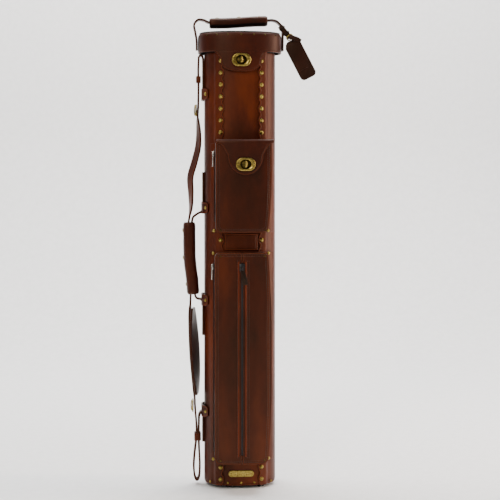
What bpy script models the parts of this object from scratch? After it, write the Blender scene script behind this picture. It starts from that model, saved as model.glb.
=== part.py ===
"""A leather cue case that stands upright: an oval hard case for three butts and five shafts, with a
hinged cap, two turn locks, two front pockets, a side handle, a shoulder strap and a name tag.

Metres, +Z up, the front faces -Y. The case is built about its own upright axis, and the empty
"case_axis" places that axis so that the whole object stands centred on the world's origin.
"""

import math

import bmesh
import bpy
from mathutils import Matrix, Vector

# ---- driving dimensions -------------------------------------------------------------------------
GAP = 0.0004                  # clearance between pieces that rest on each other
AXIS_X, AXIS_Y = -0.0185, 0.0208   # where the case's own axis stands

SHELL_HALF_WIDTH = 0.0652     # the oval hard shell, outside
SHELL_HALF_DEPTH = 0.0452
SHELL_WALL = 0.0030
OVAL_POWER = 2.4              # 2 is an ellipse, higher is squarer
LEATHER = 0.0024              # thickness of the body leather

FOOT_HEIGHT = 0.0060
FOOT_RADIUS = 0.0060
FOOT_X, FOOT_Y = 0.0305, 0.0260
FOOT_SHIFT = 0.0080           # the feet are set over to the right
BASE_THICKNESS = 0.0100
MOUTH_Z = 0.8450              # top of the plate that the cues go in through
MOUTH_PLATE = 0.0040

BODY_TOP_Z = 0.8215           # where the body leather ends, under the lid
LID_BOTTOM_Z = 0.8230
LID_TOP_Z = 0.8640
LID_HALF_WIDTH, LID_HALF_DEPTH = SHELL_HALF_WIDTH + 0.0148, SHELL_HALF_DEPTH + 0.0093
LID_BOARD = 0.0024
LID_PIVOT_GAP = 0.0010        # the hinge line is this far behind the lid's back

BUTT_BORE_RADIUS = 0.0166
SHAFT_BORE_RADIUS = 0.0108
TUBE_WALL = 0.0008
BUTT_PITCH, BUTT_Y = 0.0362, 0.0155
SHAFT_PITCH, SHAFT_Y = 0.0236, -0.0150

SEAM_X = 0.0387               # the line of studs along the edge of the body leather
EDGE_MARGIN = 0.0064          # from the studs to the crests of the scalloped edge
SCALLOP_PITCH = 0.0225
SCALLOP_TOP_Z = 0.8055        # the height of the highest stud, and so of a crest
SCALLOP_DEPTH = 0.0045
SCALLOP_STEPS = 4

TONGUE_TOP_HALF_WIDTH, TONGUE_HALF_WIDTH = 0.0500, 0.0385
TONGUE_POWER = 2.6            # squareness of the tongue's round end, as OVAL_POWER
TONGUE_TIP_Z = 0.7850
LID_LOCK_Z = 0.8065

LOCK_HALF_LENGTH, LOCK_HALF_HEIGHT = 0.0184, 0.0125
SLOT_HALF_LENGTH, SLOT_HALF_HEIGHT = 0.0100, 0.0086
LOCK_PLATE = 0.0026
KNOB_HALF_LENGTH, KNOB_HALF_WIDTH = 0.0066, 0.0032
KNOB_RISE = 0.0062            # how far the knob's bar stands out of the lock plate

UPPER_TOP_Z, UPPER_BOTTOM_Z = 0.6500, 0.4830
UPPER_HALF_WIDTH, UPPER_DEPTH = 0.0490, 0.0270
FLAP_TOP_Z, FLAP_TIP_Z = 0.6570, 0.5900
FLAP_X = 0.0060                # the flap and its lock sit to the right of the case's axis
FLAP_TOP_HALF_WIDTH, FLAP_HALF_WIDTH = 0.0530, 0.0330
FLAP_POWER = 2.0
POCKET_LOCK_Z = 0.6100
LOWER_TOP_Z, LOWER_BOTTOM_Z = 0.4460, 0.0530
LOWER_HALF_WIDTH, LOWER_DEPTH = 0.0505, 0.0240
CROWN = 0.0050                # how far the middle of a pocket's front bulges
POCKET_WALL = 0.0022
POCKET_FLANGE = 0.0060        # how far the back panel shows round the pocket
POCKET_CORNER = 0.0100
ZIP_TOP_Z, ZIP_BOTTOM_Z = 0.4270, 0.0700
ZIP_HALF_WIDTH, ZIP_SLOT = 0.0026, 0.0034
SIDE_ZIP_MARGIN, SIDE_ZIP_HEAD = 0.0200, 0.0120   # how far a side zip ends inside its pocket's ends
BAND_HALF_WIDTH = 0.0300

STRAP_WIDTH, STRAP_THICKNESS = 0.0180, 0.0038
BODY_SIDE_X = -(SHELL_HALF_WIDTH + GAP + LEATHER)   # the left side of the body leather
STRAP_PIVOT_X = BODY_SIDE_X - 0.0060   # the upright line that the side straps swing about
HANDLE_WALL = 0.0028

# ---- colours, linear ----------------------------------------------------------------------------
COLOURS = {
    "saddle_leather": (0.095, 0.030, 0.013, 0.55, 0.0),
    "dark_leather": (0.050, 0.018, 0.010, 0.60, 0.0),
    "antique_brass": (0.330, 0.225, 0.075, 0.35, 1.0),
    "black_rubber": (0.012, 0.012, 0.013, 0.70, 0.0),
    "black_nylon": (0.010, 0.011, 0.012, 0.75, 0.0),
    "nickel": (0.620, 0.600, 0.570, 0.25, 1.0),
    "hard_board": (0.090, 0.055, 0.030, 0.80, 0.0),
    "black_foam": (0.015, 0.015, 0.016, 0.95, 0.0),
    "liner_plastic": (0.028, 0.028, 0.030, 0.45, 0.0),
}


# ---- making nodes -------------------------------------------------------------------------------
def clear_scene():
    for obj in list(bpy.data.objects):
        bpy.data.objects.remove(obj, do_unlink=True)


def material(name):
    """The Principled material of that name, made the first time it is asked for."""
    found = bpy.data.materials.get(name)
    if found:
        return found
    made = bpy.data.materials.new(name)
    made.use_nodes = True
    shader = made.node_tree.nodes["Principled BSDF"]
    red, green, blue, roughness, metallic = COLOURS[name]
    shader.inputs["Base Color"].default_value = (red, green, blue, 1.0)
    shader.inputs["Roughness"].default_value = roughness
    shader.inputs["Metallic"].default_value = metallic
    return made


def empty_at(name, place, parent=None):
    """An empty on a joint's axis, at a place given in the case's own frame."""
    made = bpy.data.objects.new(name, None)
    bpy.context.scene.collection.objects.link(made)
    made.parent = parent
    above = Vector(parent["place"]) if parent else Vector((0, 0, 0))
    made.location = Vector(place) - above
    made["place"] = list(place)
    return made


def node(name, verts, faces, finish, body, helper=False):
    """One named object from points in the case's frame, held by a body's empty."""
    place = Vector(body["place"])
    mesh = bpy.data.meshes.new(name)
    mesh.from_pydata([Vector(v) - place for v in verts], [], faces)
    work = bmesh.new()
    work.from_mesh(mesh)
    bmesh.ops.remove_doubles(work, verts=work.verts, dist=1e-6)
    bmesh.ops.recalc_face_normals(work, faces=work.faces)
    if work.calc_volume(signed=True) < 0:
        bmesh.ops.reverse_faces(work, faces=work.faces)
    work.to_mesh(mesh)
    work.free()
    mesh.shade_smooth()
    mesh.set_sharp_from_angle(angle=math.radians(35))
    mesh.materials.append(material(finish))
    made = bpy.data.objects.new(name, mesh)
    bpy.context.scene.collection.objects.link(made)
    made.parent = body
    if helper:
        made.hide_render = True
        made.display_type = "WIRE"
    return made


def boolean(target, other, operation):
    """Cuts other from target, or joins it, and hides other."""
    modifier = target.modifiers.new(other.name, "BOOLEAN")
    modifier.operation = operation
    modifier.solver = "EXACT"
    modifier.object = other
    other.hide_render = True
    other.display_type = "WIRE"


# ---- shapes -------------------------------------------------------------------------------------
def loft(rings, looped=False):
    """Closed solid through rings of equal length: looped joins the last ring to the first, as in a
    tube's wall, and otherwise both end rings are capped."""
    count = len(rings[0])
    verts = [p for ring in rings for p in ring]
    faces = []
    spans = len(rings) if looped else len(rings) - 1
    for i in range(spans):
        low, high = i * count, (i + 1) % len(rings) * count
        for k in range(count):
            nxt = (k + 1) % count
            faces.append((low + k, low + nxt, high + nxt, high + k))
    if not looped:
        faces.append(tuple(range(count)))
        faces.append(tuple(range((len(rings) - 1) * count, len(rings) * count)))
    return verts, faces


def oval_radius(half_width, half_depth, angle):
    """The superellipse's point at an angle counted from the front, -Y, towards +X."""
    sine, cosine = math.sin(angle), math.cos(angle)
    x = half_width * math.copysign(abs(sine) ** (2 / OVAL_POWER), sine)
    y = -half_depth * math.copysign(abs(cosine) ** (2 / OVAL_POWER), cosine)
    return x, y


def oval_normal(x, y):
    """The outward normal of the shell's oval at one of its points."""
    gx = math.copysign(abs(x / SHELL_HALF_WIDTH) ** (OVAL_POWER - 1) / SHELL_HALF_WIDTH, x)
    gy = math.copysign(abs(y / SHELL_HALF_DEPTH) ** (OVAL_POWER - 1) / SHELL_HALF_DEPTH, y)
    size = math.hypot(gx, gy)
    return gx / size, gy / size


def make_arc_table(steps=1440):
    """(arc length from the front centre, angle) pairs round half the shell's oval."""
    table, total = [(0.0, 0.0)], 0.0
    last = oval_radius(SHELL_HALF_WIDTH, SHELL_HALF_DEPTH, 0.0)
    for i in range(1, steps + 1):
        angle = math.pi * i / steps
        here = oval_radius(SHELL_HALF_WIDTH, SHELL_HALF_DEPTH, angle)
        total += math.hypot(here[0] - last[0], here[1] - last[1])
        table.append((total, angle))
        last = here
    return table


ARC_TABLE = make_arc_table()
HALF_GIRTH = ARC_TABLE[-1][0]


def on_body(arc, offset):
    """(x, y) on the body, arc metres from the front centre towards +X, offset metres off the shell."""
    side = -1 if arc < 0 else 1
    wanted = min(abs(arc), HALF_GIRTH)
    low, high = 0, len(ARC_TABLE) - 1
    while high - low > 1:
        middle = (low + high) // 2
        if ARC_TABLE[middle][0] < wanted:
            low = middle
        else:
            high = middle
    (a0, t0), (a1, t1) = ARC_TABLE[low], ARC_TABLE[high]
    angle = t0 + (t1 - t0) * (wanted - a0) / (a1 - a0)
    x, y = oval_radius(SHELL_HALF_WIDTH, SHELL_HALF_DEPTH, angle)
    nx, ny = oval_normal(max(x, 1e-9), y if abs(y) > 1e-9 else 1e-9)
    return side * (x + nx * offset), y + ny * offset


def arc_of(x, offset):
    """How far round from the front centre the body reaches x, offset metres off the shell."""
    low, high = 0.0, HALF_GIRTH / 2
    for _ in range(40):
        middle = (low + high) / 2
        if on_body(middle, offset)[0] < abs(x):
            low = middle
        else:
            high = middle
    return low


def front_y(x, offset):
    """The y of the body's front face at x, offset metres off the shell."""
    return on_body(arc_of(x, offset), offset)[1]


def oval_ring(offset, z, count=64):
    """A closed ring round the body, offset metres off the shell, evenly spaced along its girth."""
    arcs = [(2 * k / count - 1) * HALF_GIRTH for k in range(count)]
    return [(*on_body(arc, offset), z) for arc in arcs]


def lid_ring(shrink, z, count=56):
    """A closed ring of the lid, shrink metres inside its leather, evenly spaced by angle."""
    half_width, half_depth = LID_HALF_WIDTH - shrink, LID_HALF_DEPTH - shrink
    return [(*oval_radius(half_width, half_depth, math.tau * k / count), z) for k in range(count)]


def lid_front_y(x, shrink):
    """The y of the lid's front face at x, shrink metres inside its leather."""
    return -(LID_HALF_DEPTH - shrink) * (1 - (abs(x) / (LID_HALF_WIDTH - shrink)) ** OVAL_POWER) ** (
        1 / OVAL_POWER)


def oval_tube(inner, outer, low, high, count=64):
    return loft(
        [oval_ring(outer, low, count), oval_ring(outer, high, count),
         oval_ring(inner, high, count), oval_ring(inner, low, count)],
        looped=True,
    )


def oval_disc(offset, low, high, count=64):
    return loft([oval_ring(offset, low, count), oval_ring(offset, high, count)])


def circle(cx, cy, radius, z, count):
    return [
        (cx + radius * math.cos(math.tau * k / count), cy + radius * math.sin(math.tau * k / count), z)
        for k in range(count)
    ]


def round_bar(cx, cy, radius, low, high, count=24):
    return loft([circle(cx, cy, radius, low, count), circle(cx, cy, radius, high, count)])


def round_tube(cx, cy, inner, outer, low, high, count=24):
    return loft(
        [circle(cx, cy, outer, low, count), circle(cx, cy, outer, high, count),
         circle(cx, cy, inner, high, count), circle(cx, cy, inner, low, count)],
        looped=True,
    )


def block(x0, x1, y0, y1, z0, z1):
    ring = [(x0, y0), (x1, y0), (x1, y1), (x0, y1)]
    return loft([[(x, y, z0) for x, y in ring], [(x, y, z1) for x, y in ring]])


def body_sheet(arc0, arc1, low, high, inner, outer, columns=12):
    """A piece of leather lying on the body between two arcs, from offset inner to offset outer."""
    rings = []
    for k in range(columns + 1):
        arc = arc0 + (arc1 - arc0) * k / columns
        ring = [(*on_body(arc, off), z) for off, z in
                ((inner, low), (outer, low), (outer, high), (inner, high))]
        rings.append(ring)
    return loft(rings)


def smooth_path(points, per_span=6):
    """A Catmull-Rom curve through the points."""
    points = [Vector(p) for p in points]
    ends = [2 * points[0] - points[1], *points, 2 * points[-1] - points[-2]]
    path = []
    for i in range(1, len(ends) - 2):
        a, b, c, d = ends[i - 1:i + 3]
        for k in range(per_span):
            t = k / per_span
            path.append(0.5 * (2 * b + (c - a) * t + (2 * a - 5 * b + 4 * c - d) * t * t
                               + (3 * b - a - 3 * c + d) * t ** 3))
    path.append(points[-1])
    return path


def frames_along(path, across=(0, 1, 0), twist=None):
    """(point, across, normal) at each point: across lies over the strap's width."""
    found = []
    for i, p in enumerate(path):
        tangent = (path[min(i + 1, len(path) - 1)] - path[max(i - 1, 0)]).normalized()
        wide = Vector(across)
        wide = (wide - wide.dot(tangent) * tangent).normalized()
        if twist:
            wide = Matrix.Rotation(twist(p.z), 3, tangent) @ wide
        found.append((p, wide, tangent.cross(wide)))
    return found


def ribbon(points, width, thickness, per_span=6, twist=None):
    """A flat strap along a smooth path."""
    rings = []
    for p, wide, normal in frames_along(smooth_path(points, per_span), twist=twist):
        w, t = wide * width / 2, normal * thickness / 2
        rings.append([p - w - t, p + w - t, p + w + t, p - w + t])
    return loft(rings)


def sleeve(points, width, height, wall, per_span=5, count=16):
    """A rounded leather tube along a smooth path, open at both ends."""
    outer, inner = [], []
    for p, wide, normal in frames_along(smooth_path(points, per_span)):
        rings = []
        for shrink in (0.0, wall):
            ring = []
            for k in range(count):
                angle = math.tau * k / count
                c, s = math.cos(angle), math.sin(angle)
                across = math.copysign(abs(c) ** 0.7, c) * (width / 2 - shrink)
                along = math.copysign(abs(s) ** 0.7, s) * (height / 2 - shrink)
                ring.append(p + wide * across + normal * along)
            rings.append(ring)
        outer.append(rings[0])
        inner.append(rings[1])
    return loft(outer + inner[::-1], looped=True)


def plate_outline(points, y0, y1):
    """A flat plate facing -Y, from an outline of (x, z) points."""
    return loft([[(x, y0, z) for x, z in points], [(x, y1, z) for x, z in points]])


def oblong(half_length, half_height, centre_z, count=20, centre_x=0.0):
    """An (x, z) outline with round ends."""
    radius, reach = half_height, half_length - half_height
    points = []
    for k in range(count):
        angle = math.tau * (k + 0.5) / count
        x = radius * math.cos(angle) + math.copysign(reach, math.cos(angle))
        points.append((centre_x + x, centre_z + radius * math.sin(angle)))
    return points


def oblong_washer(half_length, half_height, hole_length, hole_height, centre_z, centre_x,
                  y0, y1, count=24):
    """A plate with round ends and a slot of the same shape."""
    outer = oblong(half_length, half_height, centre_z, count, centre_x)
    inner = oblong(hole_length, hole_height, centre_z, count, centre_x)
    return loft(
        [[(x, y0, z) for x, z in outer], [(x, y1, z) for x, z in outer],
         [(x, y1, z) for x, z in inner], [(x, y0, z) for x, z in inner]],
        looped=True,
    )


def ogee_depth(x, top_half_width, half_width, drop, power):
    """How far below its top edge a flap ends at x: round at the tip, with hollow shoulders."""
    x = abs(x)
    knee = 0.40 * drop
    if x >= half_width:
        return knee * max(0.0, 1 - (x - half_width) / (top_half_width - half_width)) ** 1.8
    return knee + (drop - knee) * (1 - (x / half_width) ** power) ** (1 / power)


def ogee_columns(top_half_width, half_width):
    """The x of each column of a flap, closer together where its edge is steep."""
    inner = [half_width * math.sin(math.pi / 2 * k / 9) for k in range(10)]
    outer = [half_width + (top_half_width - half_width) * k / 5 for k in range(1, 6)]
    right = inner + outer
    return [-x for x in reversed(right[1:])] + right


def panel(columns, low, high, back, front):
    """A sheet facing -Y: at each x of columns it runs from low(x) to high(x), between back(x)
    and front(x)."""
    return loft([[(x, back(x), low(x)), (x, front(x), low(x)), (x, front(x), high(x)),
                  (x, back(x), high(x))] for x in columns])


def corner_drop(x, half_width, radius):
    """How much a rounded corner takes off the edge of a panel at x."""
    over = abs(x) - (half_width - radius)
    if over <= 0:
        return 0.0
    return radius - math.sqrt(max(0.0, radius ** 2 - min(over, radius) ** 2))


# ---- offsets that stack the leather on the shell ------------------------------------------------
PANEL_IN, PANEL_OUT = GAP, GAP + LEATHER
WRAP_IN, WRAP_OUT = GAP, GAP + LEATHER
LAP_IN, LAP_OUT = PANEL_OUT + GAP, PANEL_OUT + GAP + LEATHER
POCKET_IN, POCKET_OUT = LAP_OUT + GAP, LAP_OUT + GAP + POCKET_WALL
BODY_FRONT = front_y(0.0, PANEL_OUT)
LID_BACK = LID_HALF_DEPTH + LID_PIVOT_GAP
BASE_TOP = FOOT_HEIGHT + BASE_THICKNESS
CORE_TOP = MOUTH_Z - MOUTH_PLATE - GAP


# ---- the hard case ------------------------------------------------------------------------------
def tube_places():
    """(name, x, y, bore radius) of each cue tube: butts at the back, shafts at the front."""
    places = [(f"butt_tube_{i + 1}", (i - 1) * BUTT_PITCH, BUTT_Y, BUTT_BORE_RADIUS) for i in range(3)]
    places += [(f"shaft_tube_{i + 1}", (i - 2) * SHAFT_PITCH, SHAFT_Y, SHAFT_BORE_RADIUS)
               for i in range(5)]
    return places


def make_hard_case(case):
    node("shell", *oval_tube(-SHELL_WALL, 0.0, BASE_TOP + GAP, CORE_TOP), "hard_board", case)
    base = oval_disc(0.0, FOOT_HEIGHT, BASE_TOP)
    node("base_plate", *base, "hard_board", case)
    low = BASE_TOP + GAP
    core = node("core_block", *oval_disc(-SHELL_WALL - GAP, low, CORE_TOP), "black_foam", case)
    plate = node("mouth_plate", *oval_disc(0.0, CORE_TOP + GAP, MOUTH_Z), "black_foam", case)
    for name, x, y, bore in tube_places():
        outer = bore + TUBE_WALL
        tube = round_tube(x, y, bore, outer, low + TUBE_FLOOR, CORE_TOP)
        node(name, *tube, "liner_plastic", case)
        hole = round_bar(x, y, outer + GAP, low + TUBE_FLOOR - GAP, CORE_TOP + 0.01)
        boolean(core, node("cut_core_" + name, *hole, "black_foam", case, helper=True), "DIFFERENCE")
        mouth = round_bar(x, y, bore, CORE_TOP - 0.005, MOUTH_Z + 0.005)
        boolean(plate, node("cut_mouth_" + name, *mouth, "black_foam", case, helper=True), "DIFFERENCE")
    for i, (sx, sy) in enumerate(((-1, -1), (1, -1), (1, 1), (-1, 1))):
        foot = round_bar(sx * FOOT_X + FOOT_SHIFT, sy * FOOT_Y, FOOT_RADIUS, 0.0, FOOT_HEIGHT - GAP, 16)
        node(f"foot_{i + 1}", *foot, "black_rubber", case)


TUBE_FLOOR = 0.0060           # foam left under the cue tubes


def scallop(z):
    """How far the scalloped edge stands back from its crests at height z."""
    return SCALLOP_DEPTH * (1 - abs(math.cos(math.pi * (SCALLOP_TOP_Z - z) / SCALLOP_PITCH)))


def make_body_leather(case):
    """One sheet round the sides and back, lapped over the front panel with a scalloped edge."""
    seam_arc = arc_of(SEAM_X, LAP_OUT)
    edge_arc = seam_arc - EDGE_MARGIN
    panel_arc = seam_arc + 0.0060
    low, high = FOOT_HEIGHT, BODY_TOP_Z
    node("front_panel", *body_sheet(-panel_arc, panel_arc, low, high, PANEL_IN, PANEL_OUT, 24),
         "saddle_leather", case)
    first = edge_arc + SCALLOP_DEPTH + 0.0010
    lap_steps = 4
    columns = [(edge_arc, LAP_IN, LAP_OUT)]
    columns += [(first + (panel_arc + 0.0010 - first) * k / lap_steps, LAP_IN, LAP_OUT)
                for k in range(lap_steps + 1)]
    columns += [(panel_arc + 0.0060, WRAP_IN, WRAP_OUT)]
    lapped = len(columns)
    near, far = columns[-1][0], 2 * HALF_GIRTH - columns[-1][0]
    steps = 34
    columns += [(near + (far - near) * k / steps, WRAP_IN, WRAP_OUT) for k in range(1, steps)]
    columns += [(2 * HALF_GIRTH - a, i, o) for a, i, o in reversed(columns[:lapped])]
    offset = (SCALLOP_TOP_Z - low) % SCALLOP_PITCH
    step = SCALLOP_PITCH / SCALLOP_STEPS
    zs = [low] + [low + offset % step + step * k for k in range(int((high - low) / step) + 1)]
    zs = [z for z in zs if z < high - 0.0005] + [high]
    zs = zs[:1] + [z for z in zs[1:] if z > low + 0.0005]

    def place(arc, offset, z):
        if arc > HALF_GIRTH:
            x, y = on_body(2 * HALF_GIRTH - arc, offset)
            return (-x, y, z)
        return (*on_body(arc, offset), z)

    verts, index = [], {}

    def point(column, face, row):
        """The index of a point, made once: only the two lapped edges have every row."""
        key = (column, face, row)
        if key not in index:
            arc, inner, outer = columns[column]
            z = zs[row]
            if column == 0:
                arc = edge_arc + scallop(z)
            if column == len(columns) - 1:
                arc = 2 * HALF_GIRTH - edge_arc - scallop(z)
            index[key] = len(verts)
            verts.append(place(arc, (inner, outer)[face], z))
        return index[key]

    faces = []
    last_row, last_column = len(zs) - 1, len(columns) - 1
    cells = list(range(0, last_row, SCALLOP_STEPS)) + [last_row]
    for face in (0, 1):
        for c in range(last_column):
            if c in (0, last_column - 1):
                fine, coarse = (0, 1) if c == 0 else (last_column, last_column - 1)
                for r0, r1 in zip(cells, cells[1:]):
                    edge = [point(fine, face, r) for r in range(r0, r1 + 1)]
                    faces.append(tuple(edge + [point(coarse, face, r1), point(coarse, face, r0)]))
            elif c in (1, last_column - 2):
                fine, coarse = (1, 2) if c == 1 else (last_column - 1, last_column - 2)
                side = [point(fine, face, r) for r in cells]
                faces.append(tuple(side + [point(coarse, face, last_row), point(coarse, face, 0)]))
            else:
                faces.append((point(c, face, 0), point(c + 1, face, 0),
                              point(c + 1, face, last_row), point(c, face, last_row)))
    for c in (0, last_column):
        for r in range(last_row):
            faces.append((point(c, 0, r), point(c, 1, r), point(c, 1, r + 1), point(c, 0, r + 1)))
    for r in (0, last_row):
        for c in range(last_column):
            faces.append((point(c, 0, r), point(c + 1, 0, r), point(c + 1, 1, r), point(c, 1, r)))
    node("body_wrap", verts, faces, "saddle_leather", case)


# ---- the lid ------------------------------------------------------------------------------------
def make_lid(lid):
    """A board cap in a leather cover, both open below."""
    def cap(inner, outer, ceiling, top):
        return loft([lid_ring(inner, ceiling), lid_ring(inner, LID_BOTTOM_Z),
                     lid_ring(outer, LID_BOTTOM_Z), lid_ring(outer, top)])

    board = cap(LEATHER + GAP + LID_BOARD, LEATHER + GAP, LID_TOP_Z - LEATHER - GAP - LID_BOARD,
                LID_TOP_Z - LEATHER - GAP)
    node("lid_board", *board, "hard_board", lid)
    node("lid_cover", *cap(LEATHER, 0.0, LID_TOP_Z - LEATHER, LID_TOP_Z), "saddle_leather", lid)


def make_lid_hinge(case):
    """The leather leaf sewn to the back of the case, just under the lid."""
    middle = HALF_GIRTH
    rings = []
    for k in range(9):
        arc = middle + (k / 4 - 1) * HINGE_HALF_WIDTH
        ring = []
        for off, z in ((HINGE_IN, HINGE_LOW_Z), (HINGE_OUT, HINGE_LOW_Z),
                       (HINGE_OUT, HINGE_HIGH_Z), (HINGE_IN, HINGE_HIGH_Z)):
            x, y = on_body(min(arc, 2 * middle - arc), off)
            ring.append((x if arc <= middle else -x, y, z))
        rings.append(ring)
    node("lid_hinge", *loft(rings), "saddle_leather", case)


HINGE_HALF_WIDTH = 0.0380
HINGE_IN, HINGE_OUT = WRAP_OUT + GAP, WRAP_OUT + GAP + LEATHER
HINGE_LOW_Z, HINGE_HIGH_Z = 0.7700, BODY_TOP_Z


# ---- turn locks ---------------------------------------------------------------------------------
def make_lock(prefix, centre_x, centre_z, base_from, leaf_back, base_body, plate_body, knob_body):
    """A turn lock: a base under the flap, the oval plate on it, and the knob through both.
    base_from is the y of the face that the base stands on, and leaf_back that of the flap's back."""
    base_y = leaf_back + GAP
    outline = oblong(SLOT_HALF_LENGTH + 0.0015, SLOT_HALF_HEIGHT, centre_z, centre_x=centre_x)
    node(prefix + "_base", *plate_outline(outline, base_from - GAP, base_y), "antique_brass", base_body)
    leaf_front = leaf_back - LEATHER
    plate = oblong_washer(LOCK_HALF_LENGTH, LOCK_HALF_HEIGHT, SLOT_HALF_LENGTH, SLOT_HALF_HEIGHT,
                          centre_z, centre_x, leaf_front - GAP, leaf_front - GAP - LOCK_PLATE)
    node(prefix + "_plate", *plate, "antique_brass", plate_body)
    stem_radius = KNOB_HALF_WIDTH - 0.0006
    bar_y = leaf_front - GAP - LOCK_PLATE - 0.0004
    stem = [[(centre_x + stem_radius * math.cos(math.tau * k / 12), y,
              centre_z + stem_radius * math.sin(math.tau * k / 12)) for k in range(12)]
            for y in (base_y - GAP, bar_y - 0.0020)]
    knob = node(prefix + "_knob", *loft(stem), "antique_brass", knob_body)
    outline = [(x + centre_x, z + centre_z)
               for z, x in oblong(KNOB_HALF_LENGTH, KNOB_HALF_WIDTH, 0.0, 16)]
    bar = node(prefix + "_knob_bar", *plate_outline(outline, bar_y, bar_y - KNOB_RISE),
               "antique_brass", knob_body, helper=True)
    boolean(knob, bar, "UNION")


def make_lid_tongue(tongue):
    """The front flap that hangs from the lid's front edge, cut out round the lock's knob."""
    top = LID_BOTTOM_Z - GAP
    drop = top - TONGUE_TIP_Z
    sheet = panel(
        ogee_columns(TONGUE_TOP_HALF_WIDTH, TONGUE_HALF_WIDTH),
        lambda x: top - 0.0008 - (drop - 0.0008) / drop * ogee_depth(
            x, TONGUE_TOP_HALF_WIDTH, TONGUE_HALF_WIDTH, drop, TONGUE_POWER),
        lambda x: top, lambda x: lid_front_y(x, LEATHER), lambda x: lid_front_y(x, 0.0),
    )
    flap = node("lid_tongue", *sheet, "saddle_leather", tongue)
    slot = plate_outline(oblong(SLOT_HALF_LENGTH, SLOT_HALF_HEIGHT, LID_LOCK_Z),
                         TONGUE_BACK + 0.01, TONGUE_BACK - 0.01)
    boolean(flap, node("cut_tongue", *slot, "saddle_leather", tongue, helper=True), "DIFFERENCE")


TONGUE_BACK = -(LID_HALF_DEPTH - LEATHER)


# ---- pockets ------------------------------------------------------------------------------------
def rounded_box(half_width, low, high, corner, top_corner, steps=4):
    """An (x, z) outline of a box with round corners, anticlockwise from the lower right."""
    points = []
    for cx, cz, start, radius in (
        (half_width - corner, low + corner, -90, corner),
        (half_width - top_corner, high - top_corner, 0, top_corner),
        (-half_width + top_corner, high - top_corner, 90, top_corner),
        (-half_width + corner, low + corner, 180, corner),
    ):
        for k in range(steps + 1):
            angle = math.radians(start + 90 * k / steps)
            points.append((cx + radius * math.cos(angle), cz + radius * math.sin(angle)))
    return points


def spaced(low, high, steps):
    return [low + (high - low) * k / steps for k in range(steps + 1)]


def corner_columns(half_width, radius):
    """Columns right across a panel, closer together at its rounded corners."""
    right = spaced(0.0, half_width - radius, 4) + [
        half_width - radius + radius * math.sin(math.pi / 2 * k / 5) for k in range(1, 6)]
    return [-x for x in reversed(right[1:])] + right


def pocket_front(front, half_width):
    """The y of the back of a pocket's crowned front, at x."""
    return lambda x: front - CROWN * (1 - (x / half_width) ** 2)


UPPER_SPREAD, UPPER_DRAW_IN = 1.13, 0.15      # of the right side's width, above and at the foot
UPPER_DRAW_Z, UPPER_DRAW_POWER = 0.5700, 1.6  # the side starts to draw in at this height
LOWER_END_WIDTH, LOWER_BULGE, LOWER_BULGE_POWER = 0.96, 0.14, 2.5


def upper_bow(x, z):
    """The upper pocket's right side stands out, and draws in towards its foot."""
    below = max(0.0, (UPPER_DRAW_Z - z) / (UPPER_DRAW_Z - UPPER_BOTTOM_Z))
    return x * (UPPER_SPREAD - UPPER_DRAW_IN * below ** UPPER_DRAW_POWER) if x > 0 else x


def lower_bow(x, z):
    """The lower pocket's right side bulges between its narrower ends."""
    along = 2 * (z - LOWER_BOTTOM_Z) / (LOWER_TOP_Z - LOWER_BOTTOM_Z) - 1
    bulge = LOWER_BULGE * (1 - abs(along) ** LOWER_BULGE_POWER)
    return x * (LOWER_END_WIDTH + bulge) if x > 0 else x


def bowed_panel(columns, low, high, back, wall, bow, steps=10):
    """A pocket's front: each column runs from low(x) to high(x) through steps rows, with every x
    moved by bow(x, z)."""
    rings = []
    for column in columns:
        rows = [low(column) + (high(column) - low(column)) * k / steps for k in range(steps + 1)]
        line = [(bow(column, z), z) for z in rows]
        rings.append([(x, back(x), z) for x, z in line]
                     + [(x, back(x) - wall, z) for x, z in reversed(line)])
    verts, faces = loft(rings)
    faces = faces[:-2]
    around = 2 * steps + 2
    for first in (0, len(verts) - around):
        for k in range(steps):
            faces.append((first + k, first + k + 1, first + around - k - 2, first + around - k - 1))
    return verts, faces


def make_upper_pocket(case):
    """Back panel, gusset and front of the open pocket under the flap."""
    edge = UPPER_HALF_WIDTH + POCKET_FLANGE
    right = arc_of(upper_bow(UPPER_HALF_WIDTH, UPPER_TOP_Z) + POCKET_FLANGE, POCKET_OUT)
    node("upper_pocket_back",
         *body_sheet(-edge, right, UPPER_BOTTOM_Z, UPPER_TOP_Z, POCKET_IN, POCKET_OUT, 20),
         "saddle_leather", case)
    outer = rounded_box(UPPER_HALF_WIDTH, UPPER_BOTTOM_Z, UPPER_TOP_Z, POCKET_CORNER, POCKET_CORNER)
    inner = rounded_box(UPPER_HALF_WIDTH - POCKET_WALL, UPPER_BOTTOM_Z + POCKET_WALL, UPPER_TOP_Z,
                        POCKET_CORNER - POCKET_WALL, POCKET_CORNER)
    steps = len(outer) // 4
    order = list(range(3 * steps, 4 * steps)) + list(range(0, steps))
    u_out = [(-UPPER_HALF_WIDTH, UPPER_TOP_Z)] + [outer[i] for i in order]
    u_out.append((UPPER_HALF_WIDTH, UPPER_TOP_Z))
    inside = UPPER_HALF_WIDTH - POCKET_WALL
    u_in = [(-inside, UPPER_TOP_Z)] + [inner[i] for i in order] + [(inside, UPPER_TOP_Z)]
    wall = gusset(u_out, u_in, UPPER_FRONT, UPPER_HALF_WIDTH, upper_bow, False)
    node("upper_pocket_gusset", *wall, "saddle_leather", case)
    front = bowed_panel(corner_columns(UPPER_HALF_WIDTH, POCKET_CORNER),
                        lambda x: UPPER_BOTTOM_Z + corner_drop(x, UPPER_HALF_WIDTH, POCKET_CORNER),
                        lambda x: UPPER_TOP_Z, pocket_front(UPPER_FRONT, UPPER_HALF_WIDTH), POCKET_WALL,
                        upper_bow)
    node("upper_pocket_front", *front, "dark_leather", case)


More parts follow.
